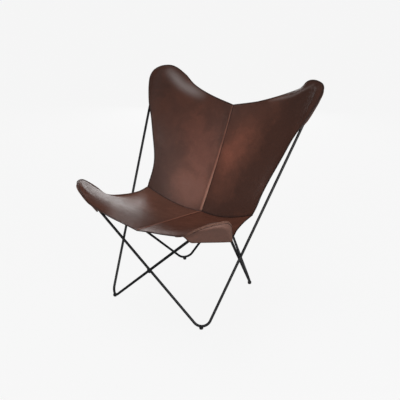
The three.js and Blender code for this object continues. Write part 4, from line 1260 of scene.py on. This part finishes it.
def looks_of(panel, points, from_seam, u, v, reach):
    """How far a panel's leather is stretched and so warm or rubbed pale, and where highlights, sheen, glow
    and shade are painted on it, from 0 to 1
    """
    wear_and_light, left = bpy.context.scene.sling_wear, panel.side.sign > 0
    from_crease = np.linalg.norm(points - points[:1], axis=2)
    if left:
        roll = (1 - reach) ** ROLL_POWER
        beside = wear_and_light.roll_foot_dark * hump(reach, 1.0, ROLL_FOOT_WIDTH)
    else:
        roll = np.zeros_like(reach)
        # Painted shade in the groove beside the centre seam
        beside = hump(from_seam, 0, SEAM_WIDTH)
    if panel.kind == "back":
        near_tip = 1 - smoothstep(np.linalg.norm(points - panel.tip.centre, axis=2), *TIP_AREA)
        # Painted highlight along the line of tension
        bloom = panel.bloom(points)
        if left:
            # Painted glow of light above the crease: warmer and paler
            low = patch(u, v, LEFT_BACK_PAINTED_GLOW)
            pull = wear_and_light.left_back + wear_and_light.left_back_inner * smoothstep(u, *LEFT_BACK_INNER)
            pull = pull + wear_and_light.left_back_middle * patch(u, v, LEFT_BACK_MIDDLE) + wear_and_light.left_back_low * low
            # Less stretch at the tip paints shade there
            pull = pull + wear_and_light.back_roll * roll - wear_and_light.left_back_tip * near_tip
            # Rubbing and a painted highlight along the crest of the turned seam edge, fading towards the top
            fade = 1 - wear_and_light.back_roll_fade * smoothstep(v, *ROLL_FADE)
            worn = wear_and_light.left_back_rub * low + wear_and_light.back_roll_rub * roll ** ROLL_RUB_POWER * fade
        else:
            pull = wear_and_light.right_back + wear_and_light.right_back_middle * patch(u, v, RIGHT_BACK_MIDDLE)
            worn = np.zeros_like(u)
        # Painted shade at the back tips
        tip_shade = wear_and_light.left_tip_dark if left else wear_and_light.right_tip_dark
        # Painted shade along the back's crease
        crease_shade = wear_and_light.back_crease_dark * hump(from_crease, 0, BACK_CREASE_WIDTH)
        dark = np.maximum(crease_shade, tip_shade * near_tip)
    else:
        # Stretch and painted sheen of the left seat panel towards the back
        rear = wear_and_light.seat_rear * (1 - smoothstep(v, *SEAT_FRONT)) * left
        pull = wear_and_light.seat + rear + wear_and_light.seat_middle * patch(u, v, SEAT_MIDDLE) + wear_and_light.seat_roll * roll
        # Painted sheen on the left seat panel; rubbing and a painted highlight on the seat's turned seam edge
        worn = wear_and_light.left_seat_rub * left + rear + wear_and_light.seat_roll_rub * roll
        # Painted sheen on the front of the right seat panel
        bloom = wear_and_light.right_seat_bloom * patch(u, v, RIGHT_SEAT_SHEEN) * (not left)
        # Painted highlight on the rim of the right front lobe
        rim_front = smoothstep(v, *RIM_FRONT) * (1 - smoothstep(u, *RIM_FRONT_END))
        rim_side = smoothstep(-u, -RIM_SIDE, 0) * (v > RIM_SIDE_START)
        worn = worn + wear_and_light.right_rim_rub * np.maximum(rim_front, rim_side) * (not left)
        # Painted shade along the seat's crease
        dark = wear_and_light.seat_crease_dark * hump(from_crease, 0, SEAT_CREASE_WIDTH)
    # Painted shade along the crease and in the groove beside the centre seam; on the left panel, darker at
    # the foot of the turned seam edge
    shade = np.maximum(dark, wear_and_light.seam_dark * beside)
    looks = {"pull": pull, "worn": worn, "bloom": bloom, "shade": shade}
    return {key: np.clip(value, 0, 1) for key, value in looks.items()}


def pocket_places(steps, bow, sling):
    """Places on the panel of a pocket's grid, from its rim to its mouth"""
    side_steps, end_steps = steps
    ends = np.array(POCKET_ENDS)
    along = np.concatenate([ends, np.linspace(*POCKET_BETWEEN, POCKET_COLUMNS), 1 - ends[::-1]])
    inward = np.concatenate([POCKET_RIM, np.linspace(*POCKET_FIELD, POCKET_ROWS), POCKET_MOUTH])
    place = along * (side_steps + end_steps)
    rim_u = np.maximum(0, place - side_steps) / POCKET_UNITS
    rim_v = np.minimum(POCKET_UNITS, POCKET_UNITS - side_steps + place) / POCKET_UNITS
    start_v, end_u = 1 - side_steps / POCKET_UNITS, end_steps / POCKET_UNITS
    bow = bow * np.sin(math.pi * along)
    mouth_u = sling.pocket_hem * (1 - along) + end_u * along + bow
    mouth_v = start_v * (1 - along) + (1 - sling.pocket_hem) * along - bow
    corner = np.clip((along - 1 + sling.pocket_corner) / sling.pocket_corner, 0, 1)
    part = inward[:, None] * np.maximum(CORNER_LEAST, 1 - corner ** CORNER_POWER)
    return rim_u + (mouth_u - rim_u) * part, rim_v + (mouth_v - rim_v) * part, along


class Pocket:
    """A pocket behind a lobe: its rim follows the panel's free edge and it passes behind the rod"""

    def __init__(self, panel, steps):
        s, tip = panel.sling, panel.tip
        self.panel = panel
        bow = s.back_pocket_bow if panel.kind == "back" else s.front_pocket_bow
        slack = s.back_pocket_slack if panel.kind == "back" else s.front_pocket_slack
        self.u, self.v, along = pocket_places(steps, bow, s)
        if panel.kind == "seat":
            slack = slack * (1 - smoothstep(along, *SLACK_END))
        seated = on_grid(panel.grid, self.u, self.v)
        from_rim = np.linalg.norm(seated - seated[:1], axis=2)
        normals = unit(on_grid(panel.normals, self.u, self.v))
        half = s.leather / 2
        thick = np.sqrt(np.maximum(0, half ** 2 - np.maximum(0, half - from_rim) ** 2))
        opening = s.pocket_opening * np.maximum(0, from_rim - s.pocket_seam)
        backward = np.sign(normals @ tip.out) * (half + thick + s.clearance + opening)
        seated = seated + normals * backward[..., None]
        behind = on_grid(panel.patch, self.u, self.v)
        out, distance = tip.by_rod(behind)
        need = panel.ridge(np.maximum(0, distance), s.pocket_slope, slack)
        behind = behind + tip.out * (panel.soft_max(out + s.leather + slack, need) - out)[..., None]
        away = smoothstep(from_rim, s.pocket_seam, s.pocket_seam + s.pocket_rise)
        if panel.kind == "back":
            away = away * smoothstep(np.minimum(along, 1 - along), 0, s.back_pocket_close)
        else:
            away = away * smoothstep(1 - along, 0, s.front_pocket_close)
        self.grid = seated * (1 - away[..., None]) + behind * away[..., None]
        self.normals = grid_normals(self.grid)
        self.flipped = np.sum(self.normals @ tip.out) < 0
        if self.flipped:
            self.normals = -self.normals

    def mesh(self, name):
        s, side = self.panel.sling, self.panel.side
        rows, columns = self.u.shape
        border = np.concatenate([
            self.grid[0], self.grid[1:, -1], self.grid[-1, -2::-1], self.grid[-2::-1, 0],
        ])
        edge = distance_to(self.grid, border)
        half = s.leather / 2
        thick = np.sqrt(np.maximum(0, half ** 2 - np.maximum(0, half - edge) ** 2))
        thick[0] = thick[-1] = thick[:, 0] = thick[:, -1] = 0
        step = self.normals * thick[..., None]
        top = np.arange(rows * columns).reshape(rows, columns)
        low = top.copy()
        low[1:-1, 1:-1] = rows * columns + np.arange((rows - 2) * (columns - 2)).reshape(rows - 2, -1)
        under_points = (self.grid - step)[1:-1, 1:-1]
        everything = np.concatenate([(self.grid + step).reshape(-1, 3), under_points.reshape(-1, 3)])
        faces = sheet_quads(top.tolist())
        under = [face[::-1] for face in sheet_quads(low.tolist())]
        flesh = np.concatenate([np.zeros(rows * columns), np.ones((rows - 2) * (columns - 2))])
        edges = np.concatenate([edge.ravel(), edge[1:-1, 1:-1].ravel()])
        wear_and_light, seat = bpy.context.scene.sling_wear, self.panel.kind == "seat"
        # Painted highlight on the rim of the right front pocket
        rubbed = wear_and_light.right_pocket_rim if seat and side.sign < 0 else 0.0
        from_rim = np.linalg.norm(self.grid - self.grid[:1], axis=2)
        worn = wear_and_light.front_pocket_rub if seat else wear_and_light.back_pocket_rub
        worn = worn + rubbed * hump(from_rim, 0, POCKET_RIM_WIDTH)
        plain = np.zeros(len(everything))
        attributes = {
            "edge": edges, "flesh": flesh, "pull": plain + wear_and_light.pocket_stretch, "shade": plain,
            # Painted highlight on the front pockets
            "bloom": plain + (wear_and_light.front_pocket_bloom if seat else 0.0),
            "worn": np.concatenate([worn.ravel(), worn[1:-1, 1:-1].ravel()]),
        }
        faces = oriented(faces + under, side, self.flipped)
        return new_mesh(name, mirrored(everything, side), faces, finish("Pocket leather"), attributes)


def row_inside(points, normals, distance):
    """A line on a grid at a distance from its first row, and the normals along that line"""
    line, ups = [], []
    for column in range(points.shape[1]):
        from_edge = np.linalg.norm(points[:, column] - points[0, column], axis=1)
        row = min(int(np.searchsorted(from_edge, distance)), len(from_edge) - 1)
        part = (distance - from_edge[row - 1]) / max(from_edge[row] - from_edge[row - 1], 1e-9)
        line.append(points[row - 1, column] * (1 - part) + points[row, column] * part)
        ups.append(unit(normals[row - 1, column] * (1 - part) + normals[row, column] * part))
    return np.array(line), np.array(ups)


def stitches(name, lines, side, tree):
    """Mesh of stitch rows; each row is a line of points with its upward directions"""
    s = side.sling
    values = {
        "Pitch": s.stitch_pitch, "Stitch length": s.stitch_length, "Thread": s.thread,
        "Yarn": finish("Waxed thread"),
    }
    paths = [mirrored(line, side) for line, _ in lines]
    ups = [mirrored(up, side) for _, up in lines]
    return grown(name, paths, tree, values, ups)


def panel_rows(panel, pocket):
    """Stitch rows on a panel: along its pocket's rim, and beside the centre seam where its edge is turned"""
    s = panel.sling
    lift = s.leather / 2 + s.thread * STITCH_BED
    up = unit(on_grid(panel.normals, pocket.u, pocket.v))
    line, ups = row_inside(on_grid(panel.grid, pocket.u, pocket.v) + up * lift, up, s.stitch_inset)
    rows = [(line[LOBE_ROW], ups[LOBE_ROW])]
    if panel.side.sign > 0:
        u, v = np.meshgrid(SEAM_ROW_U, SEAM_ROW_V)
        along = on_grid(panel.grid, u, v).swapaxes(0, 1)
        normals = unit(on_grid(panel.normals, u, v)).swapaxes(0, 1)
        raised = along + normals * (lift + s.seam_stitch_lift)
        rows.append(row_inside(raised, normals, s.roll_width_low * SEAM_ROW))
    return rows


def pocket_rows(pocket):
    """Stitch rows on a pocket, along its mouth and along its rim"""
    s = pocket.panel.sling
    outer = pocket.grid + pocket.normals * (s.leather / 2 + s.thread * STITCH_BED)
    hem = row_inside(outer[::-1], pocket.normals[::-1], s.stitch_inset * HEM_ROW)
    seam = row_inside(outer, pocket.normals, s.stitch_inset)
    return [(line[POCKET_ROW], ups[POCKET_ROW]) for line, ups in (hem, seam)]


# Operators


class SLING_OT_frame(bpy.types.Operator):
    """Bend the two rod loops and add their welds"""
    bl_idname = "sling.frame"
    bl_label = "Rod loops and welds"

    def execute(self, context):
        sizes = context.scene.sling_frame
        corners, _ = frame_corners(sizes)
        tree = rod_tree()
        coat = finish("Black powder coat")
        values = {"Rod diameter": sizes.rod_diameter, "Sides": ROD_SIDES, "Coat": coat}
        for name, names in LOOPS.items():
            route, weld, heading = loop_route(corners, names, sizes)
            rod = grown(f"rod_loop_{name}", [route], tree, values)
            new_piece(f"rod_loop_{name}", rod, [f"frame_loop_{name}"])
            ring = closing_ring(f"loop_{name}_weld_ring", weld, heading, sizes)
            new_piece(f"loop_{name}_weld_ring", ring, [f"loop_{name}_closing_weld"])
        for name, names in CROSSINGS.items():
            bead = weld_bead(f"weld_bead_{name}", [corners[key] for key in names], sizes)
            new_piece(f"weld_bead_{name}", bead, [f"weld_{name}"])
        return {"FINISHED"}


def ring_quads(levels, sides):
    """Quads between rings of vertices that follow one another"""
    faces = []
    for level in range(levels - 1):
        for step in range(sides):
            a, b = level * sides + step, level * sides + (step + 1) % sides
            faces.append((a, b, b + sides, a + sides))
    return faces


def turned(profile, centre, axis, sides):
    """Points and faces of a profile of (radius, height) turned round an axis, closed at its ends"""
    first = unit(np.cross(axis, vec(*ASKEW)))
    second = np.cross(axis, first)
    turns = np.linspace(0, 2 * math.pi, sides, endpoint=False)
    ring = first * np.cos(turns)[:, None] + second * np.sin(turns)[:, None]
    points = np.concatenate([centre + axis * height + ring * radius for radius, height in profile])
    last = (len(profile) - 1) * sides
    caps = [tuple(range(sides))[::-1], tuple(range(last, last + sides))]
    return points, ring_quads(len(profile), sides) + caps


def closing_ring(name, weld, heading, sizes):
    """The ground butt weld, a shade thicker than the rod"""
    radius, half = sizes.rod_diameter / 2, sizes.weld_length / 2
    profile = []
    for height in np.linspace(-half, half, RING_STEPS + 1):
        profile.append((radius + sizes.weld_swell * math.cos(height / half * math.pi / 2), height))
    points, faces = turned(profile, weld, heading, ROD_SIDES)
    return new_mesh(name, points, faces, finish("Black powder coat"))


def weld_bead(name, ends, sizes):
    """Rippled bead in the corners between two crossing rods"""
    start_a, end_a, start_b, end_b = ends
    along_a, along_b = unit(end_a - start_a), unit(end_b - start_b)
    normal = unit(np.cross(along_a, along_b))
    apart, cosine = start_b - start_a, along_a @ along_b
    reach_a = (apart @ along_a - cosine * (apart @ along_b)) / (1 - cosine * cosine)
    reach_b = reach_a * cosine - apart @ along_b
    middle = (start_a + along_a * reach_a + start_b + along_b * reach_b) / 2
    along = unit(along_a + along_b)
    across = np.cross(normal, along) * sizes.bead_width / 2
    upward, end = normal * sizes.bead_height / 2, along * sizes.bead_length / 2
    points = []
    for ring in range(1, BEAD_RINGS):
        turn = math.pi * ring / BEAD_RINGS
        ripple = 1 + sizes.bead_ripple * abs(math.sin(BEAD_RIPPLES * turn)) * math.sin(turn)
        for step in range(BEAD_SIDES):
            round_turn = 2 * math.pi * step / BEAD_SIDES
            outward = across * math.cos(round_turn) + upward * math.sin(round_turn)
            points.append(middle - end * math.cos(turn) + outward * math.sin(turn) * ripple)
    faces = ring_quads(BEAD_RINGS - 1, BEAD_SIDES)
    first, last, top = len(points), len(points) + 1, len(points) - BEAD_SIDES
    points += [middle - end, middle + end]
    for step in range(BEAD_SIDES):
        after = (step + 1) % BEAD_SIDES
        faces += [(first, after, step), (last, top + step, top + after)]
    return new_mesh(name, points, faces, finish("Black powder coat"))


class SLING_OT_glides(bpy.types.Operator):
    """Push a floor glide under each foot"""
    bl_idname = "sling.glides"
    bl_label = "Floor glides"

    def execute(self, context):
        sizes = context.scene.sling_frame
        corners, _ = frame_corners(sizes)
        for name in FEET:
            bend = foot_bend(corners, name, sizes)
            mesh = glide_mesh(f"foot_glide_{name}", bend, sizes)
            new_piece(f"foot_glide_{name}", mesh, [f"glide_{name}"])
        return {"FINISHED"}


def glide_mesh(name, bend, sizes):
    """A domed foot with a saddle for the rod"""
    low, up = bend.lowest(), vec(0, 0, 1)
    radius, flat = sizes.glide_diameter / 2, sizes.glide_flat / 2
    dome, edge = sizes.glide_dome, sizes.glide_edge
    rod = sizes.rod_diameter / 2 + sizes.glide_clearance
    rim = low[2] - sizes.rod_diameter / 2 + sizes.glide_cup
    profile = [(flat * part, 0.0) for part in GLIDE_FLAT_RINGS]
    for turn in GLIDE_DOME_TURNS:
        profile.append((flat + (radius - flat) * math.sin(turn), dome * (1 - math.cos(turn))))
    profile += [(radius, (dome + rim - edge) / 2), (radius, rim - edge)]
    for turn in GLIDE_EDGE_TURNS:
        profile.append((radius - edge + edge * math.cos(turn), rim - edge + edge * math.sin(turn)))
    profile += [(radius * part, rim) for part in GLIDE_TOP_RINGS]
    centre = vec(low[0], low[1], 0)
    points, faces = turned(profile, centre, up, GLIDE_SIDES)
    along = unit(np.cross(bend.out, up))
    forward, aside = (points - centre) @ along, np.abs((points - centre) @ np.cross(up, along))
    drop = np.sqrt(rod ** 2 - np.clip(aside, 0, rod) ** 2)
    saddle = low[2] + forward ** 2 / (2 * sizes.foot_bend_radius) - drop
    inside = (aside < rod) & (points[:, 2] > low[2] - rod - SADDLE_REACH)
    points[:, 2] = np.where(inside, np.minimum(points[:, 2], saddle), points[:, 2])
    return new_mesh(name, points, faces, finish("Glide plastic"))


class SLING_OT_sling(bpy.types.Operator):
    """Cut, hang and sew the four leather panels and their corner pockets"""
    bl_idname = "sling.sling"
    bl_label = "Leather sling"

    def execute(self, context):
        sizes, sling = context.scene.sling_frame, context.scene.sling_leather
        tree = stitch_tree()
        for name in ("left", "right"):
            side = Side(name, sizes, sling)
            panels = {kind: Panel(side, kind) for kind in ("back", "seat")}
            for kind, other in (("back", "seat"), ("seat", "back")):
                self.hang(panels[kind], panels[other], tree)
        return {"FINISHED"}

    def hang(self, panel, partner, tree):
        """Hang one panel with its pocket and sew them"""
        side, kind = panel.side, panel.kind
        back = kind == "back"
        end = "back" if back else "front"
        name, pocket_name = f"sling_{kind}_{side.name}", f"corner_pocket_{end}_{side.name}"
        mesh = panel_mesh(panel, partner, name)
        piece = new_piece(name, mesh, [f"{kind}_panel_{side.name}"])
        pocket = Pocket(panel, BACK_POCKET if back else FRONT_POCKET)
        mesh = pocket.mesh(pocket_name)
        sack = new_piece(pocket_name, mesh, [f"pocket_{end}_{side.name}"])
        sewn = {
            f"stitches_{kind}_{side.name}": panel_rows(panel, pocket),
            f"stitches_{pocket_name}": pocket_rows(pocket),
        }
        for row_name, rows in sewn.items():
            new_piece(row_name, stitches(row_name, rows, side, tree), [])


class SLING_OT_stage(bpy.types.Operator):
    """Set up the floor, the lights and the camera"""
    bl_idname = "sling.stage"
    bl_label = "Floor, light and camera"

    def execute(self, context):
        stage = context.scene.sling_stage
        context.scene.view_settings.view_transform = "Standard"
        context.scene.view_settings.look = "None"
        self.floor(context, stage)
        self.lights(context, stage)
        self.camera(context, stage)
        return {"FINISHED"}

    def floor(self, context, stage):
        corners = [(x * FLOOR_HALF, y * FLOOR_HALF, 0) for x, y in ((-1, -1), (1, -1), (1, 1), (-1, 1))]
        mesh = bpy.data.meshes.new("floor")
        mesh.from_pydata(corners, [], [(0, 1, 2, 3)])
        paint = Paint("Pale floor")
        paint.put(Base_Color=(stage.floor_shade,) * 3 + (1,), Roughness=1.0, Specular_IOR_Level=0.0)
        seen = paint.node("ShaderNodeLightPath")["Is Camera Ray"]
        shown = stage.backdrop - stage.floor_shade * stage.floor_light
        glow = paint.between(seen, 0.0, 1.0, stage.floor_glow, shown, soft=False)
        paint.put(Emission_Color=(1, 1, 1, 1), Emission_Strength=glow)
        mesh.materials.append(paint.material)
        floor = bpy.data.objects.new("floor", mesh)
        context.scene.collection.objects.link(floor)

    def lights(self, context, stage):
        self.world(context, stage)
        ceiling = bpy.data.lights.new("matt ceiling", "SUN")
        ceiling.energy, ceiling.angle = stage.sun_strength, stage.sun_width
        self.hang(context, ceiling, *CEILING).visible_glossy = False
        for name, (power, (width, height), place, aim) in LAMPS.items():
            lamp = bpy.data.lights.new(name, "AREA")
            lamp.shape = "RECTANGLE"
            lamp.energy, lamp.size, lamp.size_y = getattr(stage, power), width, height
            self.hang(context, lamp, place, aim)

    def hang(self, context, lamp, place, aim):
        holder = bpy.data.objects.new(lamp.name, lamp)
        holder.matrix_world = looking(vec(*place), vec(*aim))
        holder.visible_camera = False
        context.scene.collection.objects.link(holder)
        return holder

    def world(self, context, stage):
        """A dim studio that lights the chair, behind a pale backdrop that the camera sees"""
        world = bpy.data.worlds.new("Studio")
        world.use_nodes = True
        tree = world.node_tree
        dim, pale = tree.nodes["Background"], tree.nodes.new("ShaderNodeBackground")
        for shade, strength in ((dim, stage.surroundings), (pale, stage.backdrop)):
            shade.inputs["Color"].default_value = (1, 1, 1, 1)
            shade.inputs["Strength"].default_value = strength
        both = tree.nodes.new("ShaderNodeMixShader")
        link(tree, tree.nodes.new("ShaderNodeLightPath").outputs["Is Camera Ray"], both.inputs["Fac"])
        link(tree, dim.outputs["Background"], both.inputs[1])
        link(tree, pale.outputs["Background"], both.inputs[2])
        link(tree, both.outputs["Shader"], tree.nodes["World Output"].inputs["Surface"])
        context.scene.world = world

    def camera(self, context, stage):
        turn, rise = stage.azimuth, stage.elevation
        back = vec(math.sin(turn) * math.cos(rise), -math.cos(turn) * math.cos(rise), math.sin(rise))
        right = vec(math.cos(turn), math.sin(turn), 0)
        up = np.cross(back, right)
        _, shift = frame_corners(context.scene.sling_frame)
        target = vec(0, shift[1], stage.aim_height) + right * stage.target_right + up * stage.target_up
        lens = bpy.data.cameras.new("camera")
        lens.lens = stage.lens
        lens.sensor_width = SENSOR_WIDTH
        holder = bpy.data.objects.new("camera", lens)
        holder.matrix_world = looking(target + back * stage.distance, target)
        context.scene.collection.objects.link(holder)
        context.scene.camera = holder


def looking(place, aim):
    """Matrix of a lamp or camera at a place that looks at an aim"""
    back = unit(place - aim)
    right = unit(np.cross(vec(0, 0, 1), back)) if abs(back[2]) < STEEP else vec(1, 0, 0)
    up = np.cross(back, right)
    matrix = Matrix.Identity(4)
    for row in range(3):
        matrix[row] = (right[row], up[row], back[row], place[row])
    return matrix


class SLING_PT_chair(bpy.types.Panel):
    """Steps that build the chair"""
    bl_idname = "SLING_PT_chair"
    bl_label = "Sling chair"
    bl_space_type = "VIEW_3D"
    bl_region_type = "UI"
    bl_category = "Sling chair"

    def draw(self, context):
        for operator in OPERATORS:
            self.layout.operator(operator.bl_idname)


GROUPS = {
    "sling_frame": FrameSizes, "sling_leather": SlingSizes, "sling_wear": LeatherWearAndLight,
    "sling_finishes": Finishes, "sling_stage": StageSizes,
}
OPERATORS = (SLING_OT_frame, SLING_OT_glides, SLING_OT_sling, SLING_OT_stage)


def register():
    for group in (*GROUPS.values(), *OPERATORS, SLING_PT_chair):
        bpy.utils.register_class(group)
    for name, group in GROUPS.items():
        setattr(bpy.types.Scene, name, PointerProperty(type=group))


def unregister():
    for name in GROUPS:
        delattr(bpy.types.Scene, name)
    for group in (SLING_PT_chair, *OPERATORS[::-1], *GROUPS.values()):
        bpy.utils.unregister_class(group)


def main():
    register()
    bpy.ops.sling.stage()
    bpy.ops.sling.frame()
    bpy.ops.sling.glides()
    bpy.ops.sling.sling()


if __name__ == "__main__":
    main()
